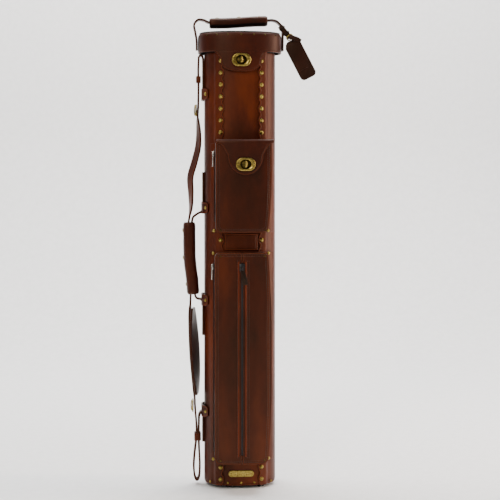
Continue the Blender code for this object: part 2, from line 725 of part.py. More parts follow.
def across(pairs, looped):
    """The same matching points, with more of them along each straight edge."""
    found = []
    ends = pairs[1:] + (pairs[:1] if looped else [])
    for here, there in zip(pairs, ends):
        steps = 12 if math.dist(here[0], there[0]) > 0.012 else 1
        for k in range(steps):
            found.append([tuple(p + (q - p) * k / steps for p, q in zip(a, b))
                          for a, b in zip(here, there)])
    return found if looped else found + [pairs[-1]]


def gusset(outline_out, outline_in, front, half_width, bow, looped):
    """The side wall between two matching (x, z) outlines, from the pocket's crowned front to the
    body's curve, with every x moved by bow(x, z)."""
    crowned = pocket_front(front, half_width)
    off = POCKET_OUT + GAP
    rings = []
    for (xo, zo), (xi, zi) in across(list(zip(outline_out, outline_in)), looped):
        xo, xi = bow(xo, zo), bow(xi, zi)
        rings.append([(xo, crowned(xo) + GAP, zo), (xo, front_y(xo, off), zo),
                      (xi, front_y(xi, off), zi), (xi, crowned(xi) + GAP, zi)])
    return loft(rings, looped)


UPPER_FRONT = BODY_FRONT - UPPER_DEPTH
LOWER_FRONT = BODY_FRONT - LOWER_DEPTH


def make_pocket_flap(flap):
    """The roof over the pocket's mouth and the tongue down its front, as one leather flap."""
    top = FLAP_TOP_Z - 0.0004
    drop = top - FLAP_TIP_Z
    crowned = pocket_front(FLAP_BACK + CROWN, FLAP_TOP_HALF_WIDTH)
    columns = [FLAP_X + x for x in ogee_columns(FLAP_TOP_HALF_WIDTH, FLAP_HALF_WIDTH)]

    def face(x):
        return crowned(x - FLAP_X)

    sheet = panel(
        columns,
        lambda x: top - FLAP_SIDE - (drop - FLAP_SIDE) / drop * ogee_depth(
            x - FLAP_X, FLAP_TOP_HALF_WIDTH, FLAP_HALF_WIDTH, drop, FLAP_POWER),
        lambda x: top, face, lambda x: face(x) - LEATHER,
    )
    front = node("pocket_flap", *sheet, "saddle_leather", flap)
    roof = []
    for x in columns:
        back = min(front_y(x, LAP_OUT + GAP), BODY_FRONT + ROOF_SETBACK)
        roof.append([(x, back, FLAP_TOP_Z), (x, face(x) - LEATHER, FLAP_TOP_Z),
                     (x, face(x) - LEATHER, FLAP_TOP_Z - LEATHER), (x, back, FLAP_TOP_Z - LEATHER)])
    boolean(front, node("flap_roof", *loft(roof), "saddle_leather", flap, helper=True), "UNION")
    slot = plate_outline(oblong(SLOT_HALF_LENGTH, SLOT_HALF_HEIGHT, POCKET_LOCK_Z, centre_x=FLAP_X),
                         FLAP_BACK + 0.01, FLAP_BACK - 0.01)
    boolean(front, node("cut_flap", *slot, "saddle_leather", flap, helper=True), "DIFFERENCE")


FLAP_SIDE = 0.0060            # how far the flap's ends hang down at its top corners
ROOF_SETBACK = 0.0030         # how far behind its hinge line the roof may reach
FLAP_BACK = UPPER_FRONT - CROWN - POCKET_WALL - GAP - 0.0016


def make_lower_pocket(case):
    """Back panel, gusset all round, and the front in two halves with the zip between them."""
    edge = LOWER_HALF_WIDTH + POCKET_FLANGE
    middle_z = (LOWER_BOTTOM_Z + LOWER_TOP_Z) / 2
    right = arc_of(lower_bow(LOWER_HALF_WIDTH, middle_z) + POCKET_FLANGE, POCKET_OUT)
    node("lower_pocket_back",
         *body_sheet(-edge, right, LOWER_BOTTOM_Z, LOWER_TOP_Z, POCKET_IN, POCKET_OUT, 20),
         "saddle_leather", case)
    outer = rounded_box(LOWER_HALF_WIDTH, LOWER_BOTTOM_Z, LOWER_TOP_Z, POCKET_CORNER, POCKET_CORNER)
    inner = rounded_box(LOWER_HALF_WIDTH - POCKET_WALL, LOWER_BOTTOM_Z + POCKET_WALL,
                        LOWER_TOP_Z - POCKET_WALL, POCKET_CORNER - POCKET_WALL,
                        POCKET_CORNER - POCKET_WALL)
    wall = gusset(outer, inner, LOWER_FRONT, LOWER_HALF_WIDTH, lower_bow, True)
    node("lower_pocket_gusset", *wall, "saddle_leather", case)
    back = pocket_front(LOWER_FRONT, LOWER_HALF_WIDTH)
    for name, side in (("lower_pocket_front_right", 1), ("lower_pocket_front_left", -1)):
        columns = [GAP] + [x for x in corner_columns(LOWER_HALF_WIDTH, POCKET_CORNER) if x > 0.001]
        sheet = bowed_panel([side * x for x in columns],
                            lambda x: LOWER_BOTTOM_Z + corner_drop(x, LOWER_HALF_WIDTH, POCKET_CORNER),
                            lambda x: LOWER_TOP_Z - corner_drop(x, LOWER_HALF_WIDTH, POCKET_CORNER),
                            back, POCKET_WALL, lower_bow)
        made = node(name, *sheet, "dark_leather", case)
        slot = block(-ZIP_SLOT, ZIP_SLOT, LOWER_FRONT + 0.01, ZIP_FACE - 0.02, ZIP_BOTTOM_Z, ZIP_TOP_Z)
        boolean(made, node("cut_zip_" + name, *slot, "dark_leather", case, helper=True), "DIFFERENCE")
    chain = block(-ZIP_HALF_WIDTH, ZIP_HALF_WIDTH, ZIP_FACE + POCKET_WALL, ZIP_FACE + 0.0004,
                  ZIP_BOTTOM_Z + GAP, ZIP_TOP_Z - GAP)
    node("front_zip", *chain, "black_nylon", case)


ZIP_FACE = LOWER_FRONT - CROWN - POCKET_WALL


def make_zip_sliders(slider, pull):
    """The front zip's slider, which rides on the chain, and the leather pull that hangs on it."""
    top = ZIP_TOP_Z - 0.0020
    y0 = ZIP_FACE - GAP
    body = block(-0.0048, 0.0048, y0, y0 - 0.0026, top - 0.0130, top)
    made = node("front_zip_slider", *body, "black_nylon", slider)
    bridge = block(-0.0014, 0.0014, y0 - 0.0020, y0 - 0.0056, top - 0.0110, top - 0.0020)
    boolean(made, node("slider_bridge", *bridge, "black_nylon", slider, helper=True), "UNION")
    hole = block(-0.0100, 0.0100, y0 - 0.0028, y0 - 0.0045, top - 0.0084, top - 0.0043)
    boolean(made, node("cut_bridge", *hole, "black_nylon", slider, helper=True), "DIFFERENCE")
    pivot = pull["place"]
    loop_y0, loop_y1 = pivot[1] + 0.0004, pivot[1] - 0.0004
    outline = [(0.0000, -0.0335), (0.0110, -0.0325), (0.0050, -0.0080), (0.0034, 0.0003),
               (-0.0034, 0.0003), (-0.0032, -0.0080)]
    outline = [(x, pivot[2] + z) for x, z in outline]
    tab = node("front_zip_pull", *plate_outline(outline, loop_y0, loop_y1), "black_nylon", pull)
    eye = block(-0.0019, 0.0019, loop_y0 + 0.01, loop_y1 - 0.01, pivot[2] - 0.0067, pivot[2] - 0.0006)
    boolean(tab, node("cut_pull_eye", *eye, "black_nylon", pull, helper=True), "DIFFERENCE")


def make_side_zip(case, slider, prefix, half_width, low, high):
    """A zip down the left side of a pocket, next to its back panel, with a bright slider."""
    x = -half_width - GAP
    y_back = front_y(half_width, POCKET_OUT + GAP) - 0.0060
    node(prefix + "_side_zip", *block(x - 0.0010, x, y_back - 0.0026, y_back + 0.0026, low, high),
         "black_nylon", case)
    top = high - 0.0020
    x_slider = x - 0.0010 - GAP
    body = block(x_slider - 0.0022, x_slider, y_back - 0.0038, y_back + 0.0034, top - 0.0110, top)
    made = node(prefix + "_side_slider", *body, "nickel", slider)
    pull = block(x_slider - 0.0040, x_slider - 0.0018, y_back - 0.0020, y_back + 0.0016,
                 top - 0.0300, top - 0.0020)
    boolean(made, node(prefix + "_side_pull", *pull, "nickel", slider, helper=True), "UNION")


def make_pocket_band(case):
    low, high = LOWER_TOP_Z + 0.0030, UPPER_BOTTOM_Z - 0.0030
    band = body_sheet(-BAND_HALF_WIDTH, BAND_HALF_WIDTH, low, high, LAP_IN, LAP_IN + POCKET_WALL)
    node("pocket_band", *band, "saddle_leather", case)


def make_name_plate(case):
    """A blank brass plate across the foot of the front panel."""
    y = BODY_FRONT - GAP
    node("name_plate", *plate_outline(oblong(0.0240, 0.0063, 0.0290), y, y - 0.0012),
         "antique_brass", case)


# ---- anchors, handles and straps ----------------------------------------------------------------
# (name, saddle centre z, strip's far end z)
ANCHORS = (
    ("strap_anchor_top", 0.7440, 0.8080),
    ("handle_anchor_top", 0.5280, 0.5960),
    ("handle_anchor_bottom", 0.3530, 0.2850),
    ("strap_anchor_bottom", 0.1420, 0.0820),
)
SADDLE_HALF_HEIGHT = 0.0110
SADDLE_HALF_ARC = 0.0270
SIDE_ARC = HALF_GIRTH / 2


def make_anchors(case):
    """Each anchor: a strip flat on the left side, held down by a saddle riveted across it."""
    for name, centre, far in ANCHORS:
        low, high = sorted((centre, far))
        strip = body_sheet(-SIDE_ARC - STRAP_WIDTH / 2, -SIDE_ARC + STRAP_WIDTH / 2, low, high,
                           WRAP_OUT + GAP, WRAP_OUT + GAP + STRAP_THICKNESS, 4)
        made = node(name, *strip, "saddle_leather", case)
        rings = []
        for k in range(13):
            arc = -SIDE_ARC + (k / 6 - 1) * SADDLE_HALF_ARC
            away = min(1.0, max(0.0, (SADDLE_HALF_ARC - abs(arc + SIDE_ARC)) / 0.012))
            lift = WRAP_OUT + GAP + (STRAP_THICKNESS - 0.0008) * min(1.0, away * 1.4)
            half = SADDLE_HALF_HEIGHT * (0.45 + 0.55 * math.sqrt(1 - (1 - away) ** 2))
            rings.append([(*on_body(arc, off), z) for off, z in (
                (lift, centre - half), (lift + LEATHER, centre - half),
                (lift + LEATHER, centre + half), (lift, centre + half))])
        boolean(made, node(name + "_saddle", *loft(rings), "saddle_leather", case, helper=True), "UNION")


def make_buckle(name, body, x, z, y=0.0):
    """A square buckle frame standing on the strap's outer face, with its prong across it."""
    half_w, half_h, bar, depth = STRAP_WIDTH / 2 + 0.0045, 0.0110, 0.0026, 0.0026

    def ring(x_at, w, h):
        return [(x_at, y + sy * w, z + sz * h) for sy, sz in ((-1, -1), (1, -1), (1, 1), (-1, 1))]

    x_in, x_out = x, x - depth
    frame = loft([ring(x_in, half_w, half_h), ring(x_out, half_w, half_h),
                  ring(x_out, half_w - bar, half_h - bar), ring(x_in, half_w - bar, half_h - bar)],
                 looped=True)
    node(name, *frame, "antique_brass", body)


def make_top_handle(handle):
    """The carrying strap over the lid and the padded wrap round its middle."""
    strap = ribbon(TOP_STRAP, STRAP_WIDTH, STRAP_THICKNESS, 5)
    node("top_handle_strap", *strap, "saddle_leather", handle)
    node("top_handle_wrap",
         *sleeve(TOP_WRAP, WRAP_WIDTH, WRAP_HEIGHT, HANDLE_WALL), "saddle_leather", handle)


def over_lid(points):
    """Points of the top handle, each given as x and its height over the lid's top."""
    return [(x, 0, LID_TOP_Z + over) for x, over in points]


def off_side(points):
    """Points of a strap at the left side, each given as its distance off the leather and its z."""
    return [(BODY_SIDE_X - out, 0, z) for out, z in points]


TOP_SIDE_X = LID_HALF_WIDTH + GAP + STRAP_THICKNESS / 2
TOP_STRAP = over_lid([
    (-TOP_SIDE_X, -0.0350), (-TOP_SIDE_X - 0.0004, -0.0160), (-TOP_SIDE_X - 0.0030, 0.0000),
    (-TOP_SIDE_X - 0.0050, 0.0140), (-0.0800, 0.0230), (-0.0690, 0.0225), (-0.0560, 0.0180),
    (-0.0200, 0.0185), (0.0200, 0.0215), (0.0500, 0.0230), (0.0640, 0.0235), (0.0740, 0.0190),
    (TOP_SIDE_X - 0.0005, 0.0070), (TOP_SIDE_X + 0.0002, -0.0160), (TOP_SIDE_X, -0.0350),
])
TOP_WRAP = over_lid([
    (-0.0580, 0.0168), (-0.0200, 0.0178), (0.0200, 0.0208), (0.0530, 0.0222),
])
WRAP_HEIGHT = 0.0200
WRAP_WIDTH = STRAP_WIDTH + 0.0120

HANDLE_STRAP = off_side([
    (0.0105, 0.5180), (0.0160, 0.5145), (0.0220, 0.5080), (0.0240, 0.4900), (0.0235, 0.4400),
    (0.0205, 0.3900), (0.0180, 0.3640), (0.0150, 0.3560), (0.0105, 0.3540),
])
SIDE_WRAP = off_side([
    (0.0285, 0.5000), (0.0285, 0.4700), (0.0275, 0.4300), (0.0230, 0.3900), (0.0210, 0.3630),
])
SHOULDER_STRAP = off_side([
    (0.0105, 0.8170), (0.0115, 0.7900), (0.0110, 0.7600), (0.0115, 0.7250), (0.0125, 0.7000),
    (0.0105, 0.6700), (0.0120, 0.6430), (0.0190, 0.6140), (0.0265, 0.5860), (0.0255, 0.5570),
    (0.0255, 0.5290), (0.0305, 0.4950), (0.0320, 0.4600), (0.0310, 0.4250), (0.0270, 0.3900),
    (0.0260, 0.3600), (0.0270, 0.3290), (0.0250, 0.2900), (0.0225, 0.2430), (0.0205, 0.2140),
    (0.0190, 0.1860), (0.0180, 0.1600), (0.0170, 0.1400), (0.0150, 0.1150), (0.0150, 0.0900),
    (0.0185, 0.0600), (0.0200, 0.0350), (0.0180, 0.0150), (0.0135, 0.0085), (0.0095, 0.0170),
    (0.0085, 0.0400), (0.0100, 0.0700), (0.0105, 0.1000), (0.0100, 0.1300),
])
SHOULDER_PAD = off_side([
    (0.0213, 0.3360), (0.0200, 0.3000), (0.0175, 0.2500), (0.0150, 0.2050), (0.0135, 0.1720),
])


def strap_twist(z):
    """How far the hanging strap has turned about its own length at height z: half a wave forwards
    between the top buckle and the side handle, and half a wave back over the shoulder pad."""
    for low, high, most in ((0.515, 0.700, -36.0), (0.165, 0.345, 30.0)):
        if low < z < high:
            return math.radians(most) * math.sin(math.pi * (z - low) / (high - low)) ** 0.7
    return 0.0


def make_shoulder_strap(strap):
    """The side handle and the shoulder strap that is gathered into its wrap."""
    long_strap = ribbon(SHOULDER_STRAP, STRAP_WIDTH, STRAP_THICKNESS, 6, strap_twist)
    node("shoulder_strap", *long_strap, "saddle_leather", strap)
    node("handle_strap", *ribbon(HANDLE_STRAP, STRAP_WIDTH, STRAP_THICKNESS, 4), "saddle_leather", strap)
    wrap = sleeve(SIDE_WRAP, WRAP_WIDTH, SIDE_WRAP_HEIGHT, HANDLE_WALL)
    node("handle_wrap", *wrap, "saddle_leather", strap)
    pad = ribbon(SHOULDER_PAD, PAD_WIDTH, PAD_THICKNESS, 6, strap_twist)
    node("shoulder_pad", *pad, "dark_leather", strap)
    make_buckle("strap_buckle_top", strap, BODY_SIDE_X - TOP_BUCKLE_OUT, 0.7140)
    make_buckle("strap_buckle_bottom", strap, BODY_SIDE_X - BOTTOM_BUCKLE_OUT, 0.1500)


SIDE_WRAP_HEIGHT = 0.0240
TOP_BUCKLE_OUT, BOTTOM_BUCKLE_OUT = 0.0145, 0.0206
PAD_WIDTH, PAD_THICKNESS = STRAP_WIDTH + 0.0160, 0.0040


def make_name_tag(tag):
    """The tag and the short strap that buckles it round the top handle's right-hand end, both just
    in front of the handle's own strap."""
    def slab(points, start, lean, front, back):
        """A flat piece facing -Y: points are (sideways, downwards) from start, turned by lean."""
        turn = math.radians(lean)
        right = Vector((math.cos(turn), 0, math.sin(turn)))
        down = Vector((math.sin(turn), 0, -math.cos(turn)))
        flat = [Vector(start) + right * a + down * b for a, b in points]
        return loft([[(p.x, y, p.z) for p in flat] for y in (back, front)])

    half, neck, middle = TAG_HALF_WIDTH, TAG_NECK_HALF, TAG_SHOULDER_HALF
    inset_x, inset_z = half - TAG_CORNER, TAG_LENGTH - TAG_CORNER
    quarter = [math.pi / 2 * k / 4 for k in range(5)]
    corner = [(inset_x + TAG_CORNER * math.cos(a), inset_z + TAG_CORNER * math.sin(a)) for a in quarter]
    outline = [(neck, 0.0), (middle, TAG_SHOULDER / 3), (half, TAG_SHOULDER), *corner]
    outline = [(-x, z) for x, z in outline] + outline[::-1]
    back = TAG_FRONT + TAG_LEAF
    leaf = slab(outline, TAG_TOP, TAG_LEAN, TAG_FRONT, back)
    body = node("tag_body", *leaf, "dark_leather", tag)
    half -= GAP
    high, low = TAG_SHOULDER / 3 + GAP, TAG_SHOULDER + GAP
    cut = [(share * half, z) for share, z in TAG_CUT]
    over = [(-middle, high), (middle, high), (half, low), *cut, (-half, cut[-1][1]), (-half, low)]
    front = slab(over, TAG_TOP, TAG_LEAN, TAG_FRONT - TAG_LEAF, TAG_FRONT + GAP)
    boolean(body, node("tag_front", *front, "dark_leather", tag, helper=True), "UNION")
    strip = [(-TAG_STRAP_HALF, 0.0), (TAG_STRAP_HALF, 0.0), (TAG_STRAP_HALF, TAG_STRAP_LENGTH),
             (-TAG_STRAP_HALF, TAG_STRAP_LENGTH)]
    node("tag_strap", *slab(strip, TAG_STRAP_TOP, TAG_STRAP_LEAN, TAG_FRONT, back), "dark_leather", tag)


TAG_LEAN, TAG_STRAP_LEAN = 27.5, 41.0
TAG_HALF_WIDTH, TAG_LENGTH, TAG_CORNER = 0.0162, 0.0800, 0.0080
TAG_NECK_HALF, TAG_SHOULDER_HALF, TAG_SHOULDER = 0.0070, 0.0125, 0.0110
TAG_CUT = ((1.0, 0.0420), (0.57, 0.0500), (0.38, 0.0600))  # the front leaf's slanted foot
TAG_TOP = (TOP_SIDE_X + 0.0149, 0.0, LID_TOP_Z - 0.0160)
TAG_LEAF = 0.0022                 # thickness of the tag's leather
TAG_FRONT = -(STRAP_WIDTH / 2 + GAP + TAG_LEAF)
TAG_STRAP_TOP = (TOP_SIDE_X - 0.0057, 0.0, LID_TOP_Z + 0.0120)
TAG_PIVOT = (TOP_SIDE_X - 0.0043, 0.0, LID_TOP_Z + 0.0105)
HANDLE_PIVOT = (0.0, 0.0, LID_TOP_Z - 0.0240)
TAG_STRAP_HALF, TAG_STRAP_LENGTH = 0.0050, 0.0300


def main():
    clear_scene()
    case = empty_at("case_axis", (0, 0, 0))
    case.location = (AXIS_X, AXIS_Y, 0)
    lid = empty_at("lid_pivot", (0, LID_BACK, LID_BOTTOM_Z - LID_PIVOT_GAP), case)
    tongue = empty_at("tongue_pivot", (0, -LID_HALF_DEPTH, LID_BOTTOM_Z), lid)
    lid_knob = empty_at("lid_knob_axis", (0, -LID_HALF_DEPTH, LID_LOCK_Z), case)
    flap = empty_at("flap_pivot", (0, BODY_FRONT, FLAP_TOP_Z), case)
    pocket_knob = empty_at("pocket_knob_axis", (FLAP_X, UPPER_FRONT, POCKET_LOCK_Z), case)
    slider = empty_at("front_slider", (0, ZIP_FACE, ZIP_TOP_Z), case)
    pull = empty_at("front_pull", (0, ZIP_FACE - GAP - 0.0036, ZIP_TOP_Z - 0.0072), slider)
    upper_slider = empty_at("upper_slider", (-UPPER_HALF_WIDTH, 0, UPPER_TOP_Z), case)
    lower_slider = empty_at("lower_slider", (-LOWER_HALF_WIDTH, 0, LOWER_TOP_Z), case)
    handle = empty_at("top_handle_axis", HANDLE_PIVOT, lid)
    tag = empty_at("tag_axis", TAG_PIVOT, handle)
    strap = empty_at("strap_axis", (STRAP_PIVOT_X, 0, 0), case)

    make_hard_case(case)
    make_body_leather(case)
    make_lid(lid)
    make_lid_hinge(case)
    make_lid_tongue(tongue)
    make_lock("lid_lock", 0.0, LID_LOCK_Z, BODY_FRONT, TONGUE_BACK, case, tongue, lid_knob)
    make_upper_pocket(case)
    make_pocket_flap(flap)
    make_lock("pocket_lock", FLAP_X, POCKET_LOCK_Z, UPPER_FRONT - CROWN - POCKET_WALL, FLAP_BACK,
              case, flap, pocket_knob)
    make_lower_pocket(case)
    make_zip_sliders(slider, pull)
    make_side_zip(case, upper_slider, "upper", UPPER_HALF_WIDTH,
                  UPPER_BOTTOM_Z + SIDE_ZIP_MARGIN, UPPER_TOP_Z - SIDE_ZIP_HEAD)
    make_side_zip(case, lower_slider, "lower", LOWER_HALF_WIDTH,
                  LOWER_BOTTOM_Z + SIDE_ZIP_MARGIN, LOWER_TOP_Z - SIDE_ZIP_MARGIN)
    make_pocket_band(case)
    make_name_plate(case)
    make_anchors(case)
    make_top_handle(handle)
    make_shoulder_strap(strap)
    make_name_tag(tag)


main()
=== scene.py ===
"""A leather cue case standing upright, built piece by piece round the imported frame."""

import math

import bmesh
import bpy
import numpy as np
from mathutils import Matrix, Vector, noise


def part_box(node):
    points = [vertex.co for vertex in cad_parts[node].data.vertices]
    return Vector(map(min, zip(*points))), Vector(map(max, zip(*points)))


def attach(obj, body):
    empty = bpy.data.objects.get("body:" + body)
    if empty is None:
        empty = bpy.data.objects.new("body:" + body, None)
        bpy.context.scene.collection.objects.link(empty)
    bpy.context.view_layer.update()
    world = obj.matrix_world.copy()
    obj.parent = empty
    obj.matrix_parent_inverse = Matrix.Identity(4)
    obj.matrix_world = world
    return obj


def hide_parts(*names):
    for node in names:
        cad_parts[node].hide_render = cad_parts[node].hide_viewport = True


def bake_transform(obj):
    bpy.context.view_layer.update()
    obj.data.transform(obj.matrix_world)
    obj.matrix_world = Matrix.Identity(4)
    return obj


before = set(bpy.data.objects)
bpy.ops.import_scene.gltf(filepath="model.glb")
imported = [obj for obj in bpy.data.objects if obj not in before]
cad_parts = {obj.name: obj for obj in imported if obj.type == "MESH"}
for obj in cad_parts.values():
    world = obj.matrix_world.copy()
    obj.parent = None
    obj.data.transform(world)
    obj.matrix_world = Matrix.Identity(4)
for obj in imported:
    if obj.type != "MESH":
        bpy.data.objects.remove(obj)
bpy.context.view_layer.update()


# ---- Feet and base plate ------------------------------------------------------------------------
# Four short rubber feet under a base plate of pressed board, which closes the bottom of the case.
# Moulded rubber is almost black, dull, and a little dusty where it has stood on floors.

def linear(code):
    """An sRGB hex colour as linear values, with alpha."""
    parts = [int(code[i:i + 2], 16) / 255 for i in (0, 2, 4)]
    return (*[c / 12.92 if c <= 0.04045 else ((c + 0.055) / 1.055) ** 2.4 for c in parts], 1.0)


def add(tree, kind, inputs=None, **settings):
    """Adds a node, sets its properties, and sets or links its input sockets by name or number."""
    made = tree.nodes.new(kind)
    for key, value in settings.items():
        setattr(made, key, value)
    for socket, value in (inputs or {}).items():
        if isinstance(value, bpy.types.NodeSocket):
            tree.links.new(value, made.inputs[socket])
        else:
            made.inputs[socket].default_value = value
    return made


def colours(ramp, *stops):
    """Fills a colour ramp with (position, colour) stops."""
    elements = ramp.color_ramp.elements
    while len(elements) < len(stops):
        elements.new(0.5)
    for element, (position, colour) in zip(elements, stops):
        element.position = position
        element.color = colour
    return ramp.outputs["Color"]


def start_material(name):
    """A new material, its node tree and its shader."""
    made = bpy.data.materials.new(name)
    made.use_nodes = True
    return made, made.node_tree, made.node_tree.nodes["Principled BSDF"]


def grey(value):
    """A linear grey, with alpha."""
    return (value, value, value, 1.0)


def moulded_rubber():
    """Moulded rubber: near black and dull, with dust in patches of about 4 mm."""
    made, tree, shader = start_material("moulded_rubber")
    place = add(tree, "ShaderNodeTexCoord").outputs["Object"]
    dust = add(tree, "ShaderNodeTexNoise", {"Vector": place, "Scale": 260.0, "Detail": 4.0})
    tint = add(tree, "ShaderNodeValToRGB", {"Fac": dust.outputs["Fac"]})
    tone = colours(tint, (0.35, linear("0e0e0f")), (0.75, linear("232324")))
    tree.links.new(tone, shader.inputs["Base Color"])
    bump = add(tree, "ShaderNodeBump",
               {"Height": dust.outputs["Fac"], "Strength": 0.25, "Distance": 0.0004})
    tree.links.new(bump.outputs["Normal"], shader.inputs["Normal"])
    shader.inputs["Roughness"].default_value = 0.72
    shader.inputs["IOR"].default_value = 1.52
    return made


def pressed_board():
    """Fibreboard, rolled smooth and stained black-brown, with fibres of about 2 mm showing."""
    made, tree, shader = start_material("pressed_board")
    place = add(tree, "ShaderNodeTexCoord").outputs["Object"]
    fibre = add(tree, "ShaderNodeTexNoise",
                {"Vector": place, "Scale": 420.0, "Detail": 6.0, "Roughness": 0.7})
    tint = add(tree, "ShaderNodeValToRGB", {"Fac": fibre.outputs["Fac"]})
    tone = colours(tint, (0.3, linear("1b1310")), (0.7, linear("33251d")))
    tree.links.new(tone, shader.inputs["Base Color"])
    bump = add(tree, "ShaderNodeBump",
               {"Height": fibre.outputs["Fac"], "Strength": 0.3, "Distance": 0.0003})
    tree.links.new(bump.outputs["Normal"], shader.inputs["Normal"])
    shader.inputs["Roughness"].default_value = 0.8
    return made


def dress(material, *nodes):
    """Gives CAD nodes a material."""
    for node in nodes:
        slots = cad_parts[node].data.materials
        slots.clear()
        slots.append(material)


RUBBER, BOARD = moulded_rubber(), pressed_board()
dress(RUBBER, "foot_1", "foot_2", "foot_3", "foot_4")
dress(BOARD, "base_plate", "shell", "lid_board")


# ---- Liners and mouth plate ---------------------------------------------------------------------
# Eight plastic tubes keep the cues apart in a block of foam, and a plush-covered plate with eight
# holes closes the top. The plush is napped nylon, black, and catches light at a low angle.

def plush():
    """Nylon plush: black, with a nap in tufts of about 1 mm that is bright only at a low angle."""
    made, tree, shader = start_material("nylon_plush")
    place = add(tree, "ShaderNodeTexCoord").outputs["Object"]
    nap = add(tree, "ShaderNodeTexNoise", {"Vector": place, "Scale": 900.0, "Detail": 3.0})
    tint = add(tree, "ShaderNodeValToRGB", {"Fac": nap.outputs["Fac"]})
    tone = colours(tint, (0.3, linear("0b0b0d")), (0.7, linear("1d1d20")))
    tree.links.new(tone, shader.inputs["Base Color"])
    bump = add(tree, "ShaderNodeBump", {"Height": nap.outputs["Fac"], "Strength": 0.5, "Distance": 0.0005})
    tree.links.new(bump.outputs["Normal"], shader.inputs["Normal"])
    shader.inputs["Roughness"].default_value = 0.95
    shader.inputs["Sheen Weight"].default_value = 0.5
    return made


def extruded_liner():
    """PVC tube, extruded: black, satin, with faint lines 1.5 mm apart along its length."""
    made, tree, shader = start_material("extruded_pvc")
    place = add(tree, "ShaderNodeTexCoord").outputs["Object"]
    along = add(tree, "ShaderNodeMapping", {"Vector": place, "Scale": (1.0, 1.0, 0.02)})
    lines = add(tree, "ShaderNodeTexNoise", {"Vector": along.outputs["Vector"], "Scale": 700.0})
    tint = add(tree, "ShaderNodeValToRGB", {"Fac": lines.outputs["Fac"]})
    tone = colours(tint, (0.3, linear("151517")), (0.7, linear("262629")))
    tree.links.new(tone, shader.inputs["Base Color"])
    shader.inputs["Roughness"].default_value = 0.4
    shader.inputs["IOR"].default_value = 1.53
    return made


PLUSH = plush()
dress(PLUSH, "core_block", "mouth_plate")
dress(extruded_liner(),
      *[f"butt_tube_{i}" for i in (1, 2, 3)], *[f"shaft_tube_{i}" for i in (1, 2, 3, 4, 5)])


# ---- Body leather -------------------------------------------------------------------------------
# Two hides of oiled bridle leather: a front panel, and a sheet wrapped round the sides and back
# whose front edges are cut in scallops and lap over the panel. Both are glued to the shell.

GAP, LEATHER = 0.0004, 0.0024
OVAL_POWER = 2.4
STUD_X = 0.0387
STUD_PITCH, TOP_STUD_Z = 0.0225, 0.8055
CREST_MARGIN, SCALLOP_DEPTH = 0.0064, 0.0045
EDGE_REACH = 0.0050           # the leather's "edge" value fades from 1 to 0 over this distance

shell_low, shell_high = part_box("shell")
AXIS = Vector(((shell_low.x + shell_high.x) / 2, (shell_low.y + shell_high.y) / 2, 0))
HALF_WIDTH, HALF_DEPTH = (shell_high.x - shell_low.x) / 2, (shell_high.y - shell_low.y) / 2
wrap_low, wrap_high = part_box("body_wrap")
PANEL_OUT = GAP + LEATHER
LAP_OUT = PANEL_OUT + GAP + LEATHER
CUT_EDGE = 0.0006             # how far most cut edges are rounded


def oval(half_width, half_depth, angle):
    """A point of the case's squared oval, at an angle counted from the front towards +X."""
    sine, cosine = math.sin(angle), math.cos(angle)
    return (half_width * math.copysign(abs(sine) ** (2 / OVAL_POWER), sine),
            -half_depth * math.copysign(abs(cosine) ** (2 / OVAL_POWER), cosine))


ANGLES = np.linspace(0, math.pi, 4001)
RIM = np.array([oval(HALF_WIDTH, HALF_DEPTH, a) for a in ANGLES])
GIRTH = np.concatenate([[0], np.cumsum(np.hypot(*np.diff(RIM, axis=0).T))])
HALF_GIRTH = float(GIRTH[-1])
EVEN = np.linspace(0, HALF_GIRTH, 2001)
EVEN_X, EVEN_Y = (np.interp(EVEN, GIRTH, RIM[:, k]).tolist() for k in (0, 1))


def on_body(arc, offset, z):
    """A point on the case: arc metres round from the front towards +X, offset metres off the shell."""
    arc = (arc + HALF_GIRTH) % (2 * HALF_GIRTH) - HALF_GIRTH
    place = abs(arc) / HALF_GIRTH * 2000
    i = min(1999, int(place))
    x = EVEN_X[i] + (EVEN_X[i + 1] - EVEN_X[i]) * (place - i)
    y = EVEN_Y[i] + (EVEN_Y[i + 1] - EVEN_Y[i]) * (place - i)
    slope_x = (max(x, 1e-9) / HALF_WIDTH) ** (OVAL_POWER - 1) / HALF_WIDTH
    slope_y = math.copysign((abs(y) / HALF_DEPTH) ** (OVAL_POWER - 1) / HALF_DEPTH, y)
    size = math.hypot(slope_x, slope_y)
    side = -1 if arc < 0 else 1
    return AXIS + Vector((side * (x + slope_x / size * offset), y + slope_y / size * offset, z))


def arc_at(x, offset):
    """The arc of the front half at which the case's surface reaches x."""
    arcs = np.linspace(0, HALF_GIRTH / 2, 400)
    reach = [on_body(a, offset, 0).x - AXIS.x for a in arcs]
    return math.copysign(np.interp(abs(x), reach, arcs), x)


def front_y(x, offset):
    """The world y of the case's front at x from its axis."""
    return on_body(arc_at(x, offset), offset, 0).y


def spaced(low, high, steps):
    """Evenly spaced values from low to high, both included."""
    return [low + (high - low) * k / steps for k in range(steps + 1)]


def smooth_step(t):
    """A ramp from 0 to 1 that starts and ends level."""
    t = min(1.0, max(0.0, t))
    return t * t * (3 - 2 * t)


